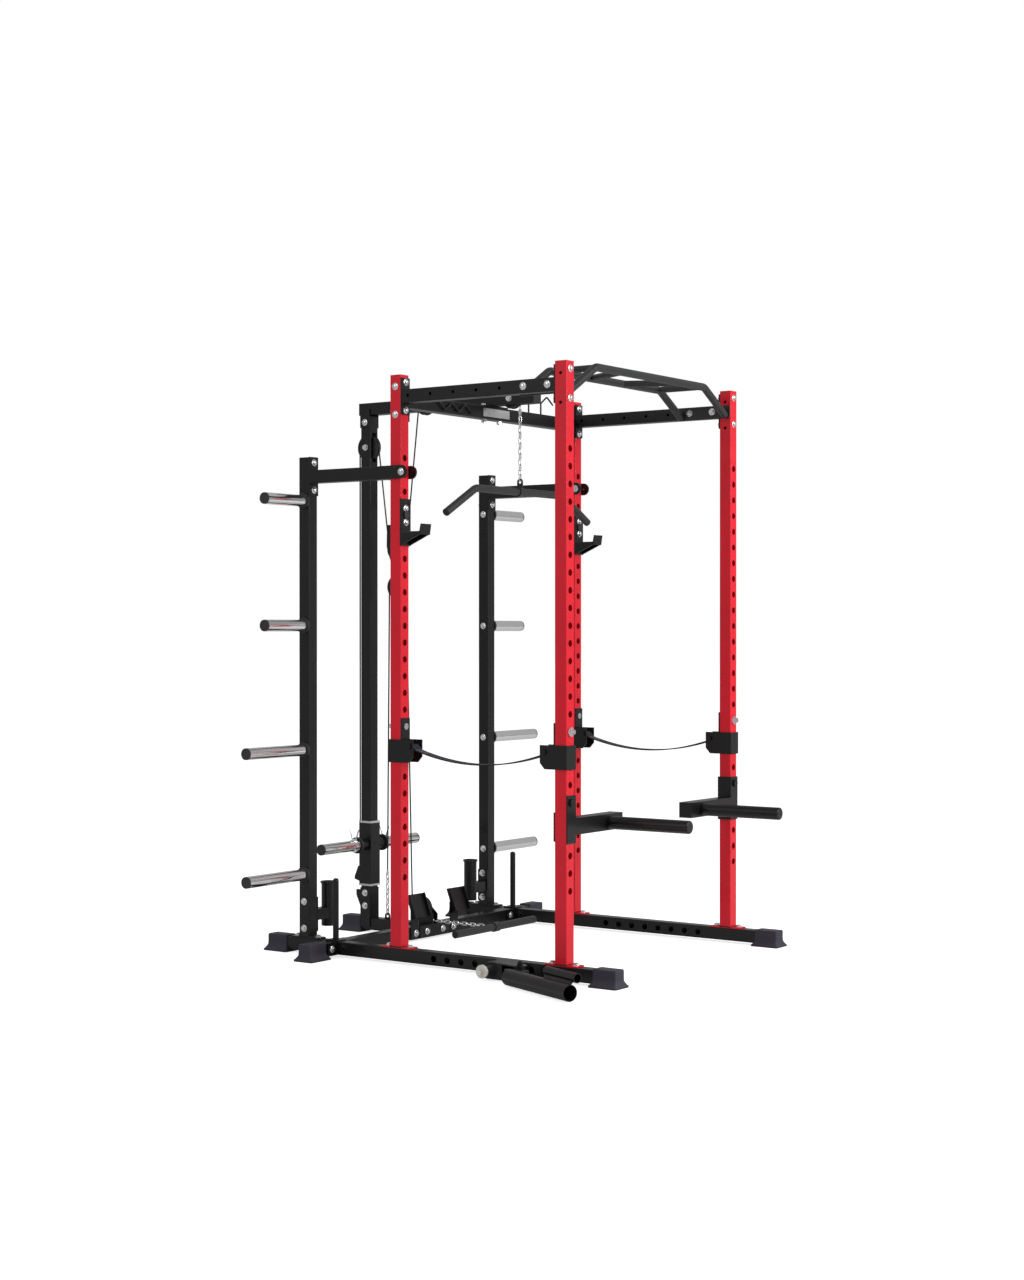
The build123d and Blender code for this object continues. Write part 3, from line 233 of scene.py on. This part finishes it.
def woven_webbing():
    """Dark nylon webbing: a herringbone across its UV map, with lighter worn threads."""
    made = bpy.data.materials.new("woven_webbing")
    made.use_nodes = True
    tree = made.node_tree
    shader = tree.nodes["Principled BSDF"]
    shader.inputs["Roughness"].default_value = 0.75
    shader.inputs["Sheen Weight"].default_value = 0.05
    uv = add(tree, "ShaderNodeUVMap", uv_map="weave")
    along = add(tree, "ShaderNodeTexWave", {"Vector": uv.outputs[0], "Scale": 140.0, "Distortion": 0.4}, bands_direction="DIAGONAL")
    across = add(tree, "ShaderNodeTexWave", {"Vector": uv.outputs[0], "Scale": 260.0}, bands_direction="X")
    threads = add(tree, "ShaderNodeMath", {0: along.outputs["Fac"], 1: across.outputs["Fac"]}, operation="MULTIPLY")
    mix = add(tree, "ShaderNodeMix", {"Factor": threads.outputs[0]}, data_type="RGBA")
    mix.inputs[6].default_value = (0.005, 0.005, 0.014, 1)
    mix.inputs[7].default_value = (0.016, 0.016, 0.036, 1)
    bump = add(tree, "ShaderNodeBump", {"Height": threads.outputs[0], "Strength": 0.6, "Distance": 0.0005})
    tree.links.new(mix.outputs[2], shader.inputs["Base Color"])
    tree.links.new(bump.outputs[0], shader.inputs["Normal"])
    return made


red_coat = coat("red_coat", (0.74, 0.006, 0.022), (0.5, 0.01, 0.02), 0.36, 0.12)
black_coat = coat("black_coat", (0.006, 0.006, 0.0065), (0.02, 0.02, 0.022), 0.34, 0.12)
grip_coat = coat("grip_coat", (0.026, 0.027, 0.029), (0.06, 0.06, 0.062), 0.42, 0.1, relief=0.25)
chrome = metal("chrome", (0.86, 0.86, 0.87), (0.72, 0.72, 0.74), 0.08)
zinc = metal("zinc", (0.8, 0.8, 0.82), (0.55, 0.55, 0.57), 0.2)
aluminium = metal("aluminium", (0.78, 0.78, 0.79), (0.6, 0.6, 0.61), 0.3, relief=0.2)
boot_rubber = moulded("boot_rubber", (0.022, 0.019, 0.036), 0.62)
ring_rubber = moulded("ring_rubber", (0.012, 0.012, 0.014), 0.6)
cap_plastic = moulded("cap_plastic", (0.012, 0.012, 0.013), 0.45)
glide_plastic = moulded("glide_plastic", (0.58, 0.58, 0.57), 0.45, dust=0.1)
pulley_nylon = moulded("pulley_nylon", (0.014, 0.014, 0.016), 0.38, dust=0.1, grain=400.0, relief=0.1)
cable_sheath = moulded("cable_sheath", (0.009, 0.009, 0.01), 0.25, dust=0.05, relief=0.05)
cream_plastic = moulded("cream_plastic", (0.72, 0.68, 0.6), 0.4, dust=0.1)
webbing = woven_webbing()

by_slot = {
    "red_paint": red_coat,
    "black_paint": black_coat,
    "grip_coat": grip_coat,
    "chrome_steel": chrome,
    "zinc_steel": zinc,
    "plate_aluminium": aluminium,
    "rubber": ring_rubber,
    "cap_plastic": cap_plastic,
    "glide_plastic": glide_plastic,
    "pulley_nylon": pulley_nylon,
    "cable_sheath": cable_sheath,
    "webbing": webbing,
}
slot_of = {part["node"]: part["material_slot"] for part in frame["record"]["subparts"]}
for name, node in nodes.items():
    for place in node.material_slots:
        place.material = by_slot[slot_of[name]]


# ---------------------------------------------------------------- reading the frame

def solids(name):
    """The vertices of each separate solid in a CAD node."""
    mesh = bmesh.new()
    mesh.from_mesh(nodes[name].data)
    bmesh.ops.remove_doubles(mesh, verts=mesh.verts, dist=1e-6)
    left = set(mesh.verts)
    found = []
    while left:
        stack = [left.pop()]
        island = []
        while stack:
            vertex = stack.pop()
            island.append(vertex.co.copy())
            for edge in vertex.link_edges:
                other = edge.other_vert(vertex)
                if other in left:
                    left.discard(other)
                    stack.append(other)
        found.append(island)
    mesh.free()
    found.sort(key=lambda points: tuple(round(sum(p[i] for p in points) / len(points), 4) for i in range(3)))
    return found


def extent(points):
    low = Vector([min(p[i] for p in points) for i in range(3)])
    high = Vector([max(p[i] for p in points) for i in range(3)])
    return low, high


def mean(points):
    return sum(points, Vector()) / len(points)


def new_object(name, mesh, material):
    """A piece at the origin with one material and smooth faces where they bend gently."""
    piece = bpy.data.objects.new(name, mesh)
    bpy.context.collection.objects.link(piece)
    mesh.materials.clear()
    mesh.materials.append(material)
    mesh.shade_smooth()
    mesh.set_sharp_from_angle(angle=math.radians(35))
    return piece


def mesh_from(name, vertices, faces):
    mesh = bpy.data.meshes.new(name)
    mesh.from_pydata([tuple(v) for v in vertices], [], faces)
    mesh.update()
    return mesh


def rings_to_mesh(name, rings, capped=True):
    """A closed skin over rings that all have the same number of points."""
    count = len(rings[0])
    faces = []
    for i in range(len(rings) - 1):
        for k in range(count):
            after = (k + 1) % count
            faces.append((i * count + k, i * count + after, (i + 1) * count + after, (i + 1) * count + k))
    if capped:
        faces.append(tuple(reversed(range(count))))
        faces.append(tuple(range((len(rings) - 1) * count, len(rings) * count)))
    made = mesh_from(name, [p for ring in rings for p in ring], faces)
    outward = bmesh.new()
    outward.from_mesh(made)
    bmesh.ops.recalc_face_normals(outward, faces=outward.faces)
    outward.to_mesh(made)
    outward.free()
    return made


def tube(name, points, radius, steps=16):
    """A round tube along a list of points."""
    rings = []
    for i, point in enumerate(points):
        heading = (points[min(i + 1, len(points) - 1)] - points[max(i - 1, 0)]).normalized()
        across = X if abs(heading.x) < 0.9 else Y
        up = heading.cross(across).normalized()
        across = up.cross(heading).normalized()
        turns = [2 * math.pi * k / steps for k in range(steps)]
        rings.append([point + radius * (math.cos(t) * across + math.sin(t) * up) for t in turns])
    return rings_to_mesh(name, rings)


# ---------------------------------------------------------------- geometry trees

def new_tree(name, inputs):
    tree = bpy.data.node_groups.new(name, "GeometryNodeTree")
    tree.interface.new_socket("Geometry", in_out="INPUT", socket_type="NodeSocketGeometry")
    for label, kind, value in inputs:
        socket = tree.interface.new_socket(label, in_out="INPUT", socket_type=kind)
        if value is not None:
            socket.default_value = value
    tree.interface.new_socket("Geometry", in_out="OUTPUT", socket_type="NodeSocketGeometry")
    return tree, tree.nodes.new("NodeGroupInput"), tree.nodes.new("NodeGroupOutput")


def scatter_tree(name, make_shape, inputs):
    """A tree that sets one shape on every vertex, with its Z along the vertex's facing and turned by its turn."""
    tree, given, out = new_tree(name, [*inputs, ("Material", "NodeSocketMaterial", None)])
    shape = make_shape(tree, given.outputs)
    facing = add(tree, "GeometryNodeInputNamedAttribute", {"Name": "facing"}, data_type="FLOAT_VECTOR")
    turn = add(tree, "GeometryNodeInputNamedAttribute", {"Name": "turn"}, data_type="FLOAT")
    aligned = add(tree, "FunctionNodeAlignRotationToVector", {"Vector": facing.outputs["Attribute"]}, axis="Z")
    spin = add(tree, "ShaderNodeCombineXYZ", {"Z": turn.outputs["Attribute"]})
    spin_rotation = add(tree, "FunctionNodeEulerToRotation", {0: spin.outputs[0]})
    rotation = add(tree, "FunctionNodeRotateRotation", {0: aligned.outputs[0], 1: spin_rotation.outputs[0]}, rotation_space="LOCAL")
    placed = add(tree, "GeometryNodeInstanceOnPoints", {
        "Points": given.outputs["Geometry"], "Instance": shape, "Rotation": rotation.outputs[0],
    })
    real = add(tree, "GeometryNodeRealizeInstances", {"Geometry": placed.outputs[0]})
    done = add(tree, "GeometryNodeSetMaterial", {"Geometry": real.outputs[0], "Material": given.outputs["Material"]})
    tree.links.new(done.outputs[0], out.inputs[0])
    return tree


def scatter(name, tree, places, material, **values):
    """Runs a scatter tree on (point, facing, turn) places and returns a plain mesh piece."""
    mesh = mesh_from(name, [place[0] for place in places], [])
    mesh.attributes.new("facing", "FLOAT_VECTOR", "POINT")
    mesh.attributes.new("turn", "FLOAT", "POINT")
    for i, (_, towards, angle) in enumerate(places):
        mesh.attributes["facing"].data[i].vector = towards
        mesh.attributes["turn"].data[i].value = angle
    source = bpy.data.objects.new(name + "_points", mesh)
    bpy.context.collection.objects.link(source)
    modifier = source.modifiers.new("tree", "NODES")
    modifier.node_group = tree
    sockets = {item.name: item.identifier for item in tree.interface.items_tree if item.in_out == "INPUT"}
    modifier[sockets["Material"]] = material
    for key, value in values.items():
        modifier[sockets[key]] = value
    evaluated = source.evaluated_get(bpy.context.evaluated_depsgraph_get())
    made = bpy.data.meshes.new_from_object(evaluated)
    bpy.data.objects.remove(source)
    return new_object(name, made, material)


def round_bar(tree, radius, depth, steps, lift):
    """A cylinder that stands on lift, as a tree node's output."""
    bar = add(tree, "GeometryNodeMeshCylinder", {"Vertices": steps, "Radius": radius, "Depth": depth})
    centre = add(tree, "GeometryNodeTransform", {"Geometry": bar.outputs["Mesh"], "Translation": (0, 0, lift + depth / 2)})
    return centre.outputs[0]


def dome(tree, radius, height, lift):
    """A low dome that stands on lift."""
    ball = add(tree, "GeometryNodeMeshUVSphere", {"Segments": 24, "Rings": 12, "Radius": 1.0})
    flat = add(tree, "GeometryNodeTransform", {
        "Geometry": ball.outputs["Mesh"], "Scale": (radius, radius, height), "Translation": (0, 0, lift),
    })
    return flat.outputs[0]


def joined(tree, shapes):
    join = tree.nodes.new("GeometryNodeJoinGeometry")
    for shape in shapes:
        tree.links.new(shape, join.inputs[0])
    return join.outputs[0]


def bolt_head(tree, given):
    """A domed washer under a flanged hexagon head with a rounded crown."""
    return joined(tree, [
        round_bar(tree, washer_radius, 0.0012, 28, 0.0),
        dome(tree, washer_radius - 0.0006, 0.003, 0.0012),
        round_bar(tree, 0.0102, 0.0065, 6, 0.0015),
        dome(tree, 0.0082, 0.0018, 0.008),
        round_bar(tree, 0.0098, 0.0018, 24, 0.0025),
    ])


def bolt_nut(tree, given):
    """A washer, a lock nut with its round collar and the end of the bolt."""
    return joined(tree, [
        round_bar(tree, washer_radius, 0.0018, 28, 0.0),
        round_bar(tree, 0.0104, 0.0075, 6, 0.0018),
        round_bar(tree, 0.0088, 0.0028, 24, 0.0093),
        round_bar(tree, bolt_radius - 0.0003, 0.0135, 20, 0.0),
    ])


def chain_link(tree, given):
    """A welded link, long in Z and wide in X, from a rounded outline swept by its wire."""
    outline = add(tree, "GeometryNodeCurvePrimitiveQuadrilateral", {"Width": 0.0108, "Height": 0.0258})
    bent = add(tree, "GeometryNodeFilletCurve", {"Curve": outline.outputs[0], "Radius": 0.00535, "Count": 7, "Limit Radius": True}, mode="POLY")
    wire = add(tree, "GeometryNodeCurvePrimitiveCircle", {"Resolution": 10, "Radius": given["Wire Radius"]})
    swept = add(tree, "GeometryNodeCurveToMesh", {"Curve": bent.outputs[0], "Profile Curve": wire.outputs[0]})
    upright = add(tree, "GeometryNodeTransform", {"Geometry": swept.outputs[0], "Rotation": (math.pi / 2, 0, 0)})
    return upright.outputs[0]


def ring(tree, given):
    """A thin ring lying flat, such as the paint's lip round a punched hole."""
    path = add(tree, "GeometryNodeCurvePrimitiveCircle", {"Resolution": 28, "Radius": given["Ring Radius"]})
    wire = add(tree, "GeometryNodeCurvePrimitiveCircle", {"Resolution": 6, "Radius": given["Wire Radius"]})
    return add(tree, "GeometryNodeCurveToMesh", {"Curve": path.outputs[0], "Profile Curve": wire.outputs[0]}).outputs[0]


def bead(tree, given):
    """One ripple of a weld."""
    ball = add(tree, "GeometryNodeMeshUVSphere", {"Segments": 8, "Rings": 5, "Radius": given["Bead Radius"]})
    return add(tree, "GeometryNodeTransform", {"Geometry": ball.outputs["Mesh"], "Scale": (1.0, 0.7, 1.0)}).outputs[0]


def stitch(tree, given):
    """One stitch: a short thread lying along Y that bulges from the cloth."""
    ball = add(tree, "GeometryNodeMeshUVSphere", {"Segments": 8, "Rings": 5, "Radius": given["Thread Radius"]})
    return add(tree, "GeometryNodeTransform", {"Geometry": ball.outputs["Mesh"], "Scale": (1.0, 2.8, 1.0)}).outputs[0]


head_tree = scatter_tree("bolt_heads", bolt_head, [])
nut_tree = scatter_tree("bolt_nuts", bolt_nut, [])
link_tree = scatter_tree("chain_links", chain_link, [("Wire Radius", "NodeSocketFloat", link_wire)])
ring_tree = scatter_tree(
    "rings", ring, [("Ring Radius", "NodeSocketFloat", hole_radius), ("Wire Radius", "NodeSocketFloat", 0.0006)],
)
bead_tree = scatter_tree("weld_beads", bead, [("Bead Radius", "NodeSocketFloat", 0.0026)])
stitch_tree = scatter_tree("stitches", stitch, [("Thread Radius", "NodeSocketFloat", 0.0005)])


# ---------------------------------------------------------------- bolts

def bolt_ends(name):
    """Where each bolt of a node has its head and its nut, as (point on the face, facing, turn)."""
    heads, nuts = [], []
    for number, points in enumerate(solids(name)):
        low, high = extent(points)
        size = high - low
        axis = max(range(3), key=lambda i: size[i])
        if size[axis] < 0.03:
            heads.append((Vector((low.x + size.x / 2, high.y, low.z + size.z / 2)), -Y, 0.0))
            continue
        middle = (low + high) / 2
        for value, sign in ((low[axis], -1), (high[axis], 1)):
            def reach(depth):
                near = [p for p in points if abs(p[axis] - value) < depth]
                return max(math.hypot(*[p[i] - middle[i] for i in range(3) if i != axis]) for p in near)
            facing = Vector([sign if i == axis else 0 for i in range(3)])
            place = middle.copy()
            if reach(0.001) > 0.008:
                place[axis] = value - sign * 0.009
                heads.append((place, facing, number * 0.7))
            elif reach(0.0145) > 0.009:
                place[axis] = value - sign * 0.014
                nuts.append((place, facing, number * 0.9))
    return heads, nuts


heads, nuts = bolt_ends("frame_bolts")
heads_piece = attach(scatter("bolt_heads", head_tree, heads, zinc), "frame")
nuts_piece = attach(scatter("bolt_nuts", nut_tree, nuts, zinc), "frame")
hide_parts("frame_bolts")


# ---------------------------------------------------------------- chains

def chain_piece(name, body, axis):
    """Links where the CAD has them, and the cable's eye and sleeve at the end."""
    links, ends = [], []
    for points in solids(name):
        low, high = extent(points)
        size = high - low
        wide = max((i for i in range(3) if i != axis), key=lambda i: size[i])
        if abs(size[axis] - 0.0304) < 0.001 and size[wide] < 0.0165 and min(size) < 0.006:
            facing = Vector([1 if i == axis else 0 for i in range(3)])
            links.append(((low + high) / 2, facing, 0.0 if wide == 0 else math.pi / 2))
        else:
            ends.append((low, high))
    piece = scatter(name + "_links", link_tree, links, zinc)
    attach(piece, body)
    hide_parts(name)
    for low, high in ends:
        middle = (low + high) / 2
        start, stop = middle.copy(), middle.copy()
        stop[axis] = high[axis]
        start[axis] = high[axis] - 0.013
        steps = 14
        way = [start.lerp(stop, k / steps) for k in range(steps + 1)]
        sleeve = new_object(name + "_sleeve", tube(name + "_sleeve", way, 0.0042), zinc)
        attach(sleeve, body)
        loop_centre = middle.copy()
        loop_centre[axis] = high[axis] - 0.0186
        size = high - low
        thin = min((i for i in range(3) if i != axis), key=lambda i: size[i])
        normal = Vector([1 if i == thin else 0 for i in range(3)])
        eye = scatter(
            name + "_eye", ring_tree, [(loop_centre, normal, 0.0)], zinc,
            **{"Ring Radius": 0.006, "Wire Radius": link_wire},
        )
        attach(eye, body)


chain_piece("lat_chain", "lat_bar", 2)
chain_piece("row_chain", "row_bar", 1)
chain_piece("anchor_chain", "frame", 2)


# ---------------------------------------------------------------- cables

def end_points(points):
    """The middles of a straight round solid's two ends, the far one from the origin's side last."""
    first = min(points, key=lambda p: (p.y, p.z))
    far = max(points, key=lambda p: (p - first).length)
    heading = (far - first).normalized()
    along = [(p - first).dot(heading) for p in points]
    low, high = min(along), max(along)
    one = mean([p for p, a in zip(points, along) if a < low + 0.004])
    two = mean([p for p, a in zip(points, along) if a > high - 0.004])
    return one, two


def stretching_cable(name, held_side):
    """The straight runs of a cable node as round tubes, each drawn from its held end to its loose end."""
    for number, points in enumerate(solids(name)):
        one, two = end_points(points)
        held, loose = (one, two) if held_side(one) > held_side(two) else (two, one)
        steps = 40
        way = [held.lerp(loose, k / steps) for k in range(steps + 1)]
        piece = new_object(f"{name}_{number}", tube(name, way, cable_radius), cable_sheath)
        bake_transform(piece)
        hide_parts(name)


stretching_cable("cable_lat_drop", lambda p: p.z)
stretching_cable("cable_carriage_fall", lambda p: p.z)
stretching_cable("cable_row_draw", lambda p: p.y)
stretching_cable("cable_block_upper", lambda p: p.z)
stretching_cable("cable_block_lower", lambda p: -p.z)


# ---------------------------------------------------------------- safety straps

def strap_path(front, rear, sag, loop):
    """The webbing's centre line: lower ply, a loop round each bolt, and an upper ply sewn on it."""
    middle = (front.y + rear.y) / 2
    half = (rear.y - front.y) / 2
    below = front.z - loop

    def hang(y):
        share = (y - middle) / half
        return Vector((front.x, y, below - sag * (1 - share * share)))

    def upper_ply(start, bolt):
        return [hang(start + (bolt - start) * k / 40) + Z * strap_ply * 1.05 for k in range(38)]

    def round_bolt(centre, begin, turn):
        steps = 24
        angles = [math.radians(begin + turn * k / steps) for k in range(steps + 1)]
        return [centre + Vector((0, loop * math.cos(a), loop * math.sin(a))) for a in angles]

    front_half = upper_ply(middle - ply_gap, front.y)
    rear_half = upper_ply(middle + ply_gap, rear.y)
    long_run = [hang(front.y + (rear.y - front.y) * k / 90) for k in range(2, 89)]
    front_loop = round_bolt(front, 40, 230)
    rear_loop = round_bolt(rear, -90, 230)
    return front_half + front_loop + long_run + rear_loop + rear_half[::-1]


def strap(side, low, high):
    """One sewn safety strap with its stitches."""
    loop = bolt_radius + 0.0004 + strap_ply / 2
    middle_x = (low.x + high.x) / 2
    front = Vector((middle_x, low.y + 0.0109, high.z - 0.0109))
    rear = Vector((middle_x, high.y - 0.0109, high.z - 0.0109))
    way = strap_path(front, rear, front.z - loop - low.z - strap_ply, loop)
    half = (high.x - low.x) / 2
    edge = strap_ply / 2
    across = [(-half + 0.001, edge), (half - 0.001, edge), (half, 0), (half - 0.001, -edge), (-half + 0.001, -edge), (-half, 0)]
    rings, lengths, length = [], [], 0.0
    for i, point in enumerate(way):
        heading = (way[min(i + 1, len(way) - 1)] - way[max(i - 1, 0)]).normalized()
        up = X.cross(heading).normalized()
        rings.append([point + X * dx + up * dz for dx, dz in across])
        if i:
            length += (point - way[i - 1]).length
        lengths.append(length)
    mesh = rings_to_mesh("safety_strap", rings)
    uv = mesh.uv_layers.new(name="weave")
    for corner in mesh.loops:
        place = corner.vertex_index
        uv.data[corner.index].uv = (lengths[place // 6], across[place % 6][0])
    piece = new_object(f"safety_strap_{side}", mesh, webbing)
    stitches = []
    for end, sign in ((front, 1), (rear, -1)):
        for row in (-0.016, -0.008, 0.0, 0.008, 0.016):
            for k in range(13):
                y = end.y + sign * (0.02 + 0.004 * k)
                share = (y - (front.y + rear.y) / 2) / ((rear.y - front.y) / 2)
                z = end.z - loop - (front.z - loop - low.z - strap_ply) * (1 - share * share) + strap_ply * 1.7
                stitches.append((Vector((middle_x + row, y, z)), Z, 0.0))
    thread = scatter(f"strap_stitches_{side}", stitch_tree, stitches, glide_plastic)
    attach(piece, "frame")
    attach(thread, "frame")
    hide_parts("safety_straps")


for side, points in zip(("left", "right"), solids("safety_straps")):
    strap(side, *extent(points))


# ---------------------------------------------------------------- rubber boots

def rounded_rectangle(centre, half_x, half_y, radius, z):
    points = []
    for quarter, (sx, sy) in enumerate(((1, 1), (-1, 1), (-1, -1), (1, -1))):
        for k in range(7):
            angle = math.radians(90 * quarter + 15 * k)
            corner = Vector((centre.x + sx * (half_x - radius), centre.y + sy * (half_y - radius), z))
            points.append(corner + radius * Vector((math.cos(angle), math.sin(angle), 0)))
    return points


def boot(number, low, high):
    """A moulded rubber foot: a flared skirt, a waist and a rounded block that holds the tube."""
    centre = (low + high) / 2
    along_y = high.y - low.y > high.x - low.x
    levels = [
        (59, 46, 8, 0.0), (59.4, 46.4, 8, 1.5), (59, 46, 8, 6), (57, 44, 8, 8.5), (55.5, 42.0, 8, 10),
        (52, 36, 8, 17), (49.4, 31.2, 7, 24), (49, 30.5, 7, 30), (49, 30, 7, 40), (49, 30, 7, 60), (48.4, 29.4, 7, 63),
        (47.0, 28.2, 6, 64.6), (45, 26, 5, 65),
    ]
    rings = []
    for long_half, wide_half, radius, z in levels:
        half_x, half_y = (wide_half, long_half) if along_y else (long_half, wide_half)
        rings.append(rounded_rectangle(centre, half_x / 1000, half_y / 1000, radius / 1000, z / 1000))
    return new_object(f"rubber_boot_{number}", rings_to_mesh("boot", rings), boot_rubber)


for number, points in enumerate(solids("rubber_feet"), 1):
    piece = boot(number, *extent(points))
    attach(piece, "frame")
    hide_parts("rubber_feet")


# ---------------------------------------------------------------- hole rims and welds

rims, beads = [], []
for name in ("upright_front_left", "upright_front_right", "upright_rear_left", "upright_rear_right"):
    low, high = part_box(name)
    centre = (low + high) / 2
    for face in (-1, 1):
        for k in range(hole_count):
            rims.append((Vector((centre.x, centre.y + face * 0.025, hole_start + k * hole_pitch)), face * Y, 0.0))
for name in ("upright_front_left", "upright_front_right", "upright_rear_left", "upright_rear_right", "storage_posts"):
    for points in solids(name):
        low, high = extent(points)
        centre = (low + high) / 2
        foot = low.z + 0.005
        for k in range(13):
            offset = -0.024 + 0.004 * k
            for dx, dy in ((offset, -0.0255), (offset, 0.0255), (-0.0255, offset), (0.0255, offset)):
                beads.append((Vector((centre.x + dx, centre.y + dy, foot)), Z, 0.0 if abs(dy) > 0.025 else math.pi / 2))
rim_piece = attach(scatter("hole_rims", ring_tree, rims, red_coat), "frame")
bead_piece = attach(scatter("weld_beads", bead_tree, beads, black_coat), "frame")


# ---------------------------------------------------------------- landmine knob

def knob():
    """A cream disc over the plate of the landmine pin's knob, round its bright hub."""
    low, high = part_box("landmine_pin")
    axis = (low + high) / 2
    outer = low.x + knob_hub - knob_proud
    profile = [(0.0, 0.0236), (0.0008, 0.0243), (knob_plate + 2 * knob_proud, 0.0243)]
    rings = []
    for depth, radius in profile:
        turns = [2 * math.pi * k / 48 for k in range(48)]
        rings.append([Vector((outer + depth, axis.y + radius * math.cos(t), axis.z + radius * math.sin(t))) for t in turns])
    return new_object("landmine_knob", rings_to_mesh("knob", rings), cream_plastic)


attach(knob(), "frame")


# ---------------------------------------------------------------- floor, light and camera

def studio():
    """A pale floor, a white room and soft lights: the front faces are the brighter ones."""
    floor = new_object(
        "floor", mesh_from("floor", [(-60, -60, 0), (60, -60, 0), (60, 60, 0), (-60, 60, 0)], [(0, 1, 2, 3)]),
        bpy.data.materials.new("pale_floor"),
    )
    pale = floor.data.materials[0]
    pale.use_nodes = True
    shader = pale.node_tree.nodes["Principled BSDF"]
    shader.inputs["Base Color"].default_value = (0.8, 0.8, 0.8, 1)
    shader.inputs["Roughness"].default_value = 0.9
    shader.inputs["Specular IOR Level"].default_value = 0.0
    shader.inputs["Emission Color"].default_value = (1, 1, 1, 1)
    seen = add(pale.node_tree, "ShaderNodeLightPath")
    bright = add(pale.node_tree, "ShaderNodeMath", {0: seen.outputs["Is Camera Ray"], 1: 0.74}, operation="MULTIPLY")
    pale.node_tree.links.new(bright.outputs[0], shader.inputs["Emission Strength"])
    world = bpy.data.worlds.new("white_room")
    bpy.context.scene.world = world
    world.use_nodes = True
    world.node_tree.nodes["Background"].inputs["Color"].default_value = (1, 1, 1, 1)
    seen = add(world.node_tree, "ShaderNodeLightPath")
    sky = add(world.node_tree, "ShaderNodeMapRange", {0: seen.outputs["Is Camera Ray"], 3: 0.42, 4: 1.0})
    world.node_tree.links.new(sky.outputs[0], world.node_tree.nodes["Background"].inputs["Strength"])
    middle = Vector((0, 0, 1.1))
    for name, place, size, power in (
        ("front_light", Vector((1.5, -7, 4.0)), 4.0, 420),
        ("left_light", Vector((-7, 1.5, 4.5)), 3.0, 90),
    ):
        light = bpy.data.lights.new(name, "AREA")
        light.size = size
        light.energy = power
        lamp = bpy.data.objects.new(name, light)
        bpy.context.collection.objects.link(lamp)
        lamp.location = place
        lamp.rotation_euler = (middle - place).to_track_quat("-Z", "Y").to_euler()


def camera():
    """The camera at the reference viewing angle."""
    lens = bpy.data.cameras.new("camera")
    lens.lens = 59.515
    lens.sensor_width = 36
    lens.clip_end = 200
    eye = bpy.data.objects.new("camera", lens)
    bpy.context.collection.objects.link(eye)
    eye.location = (-6.86443, -4.75332, 1.26155)
    eye.rotation_euler = Vector((0.81777, 0.57552, -0.00543)).to_track_quat("-Z", "Y").to_euler()
    bpy.context.scene.camera = eye


studio()
camera()
bpy.context.scene.view_settings.view_transform = "Standard"
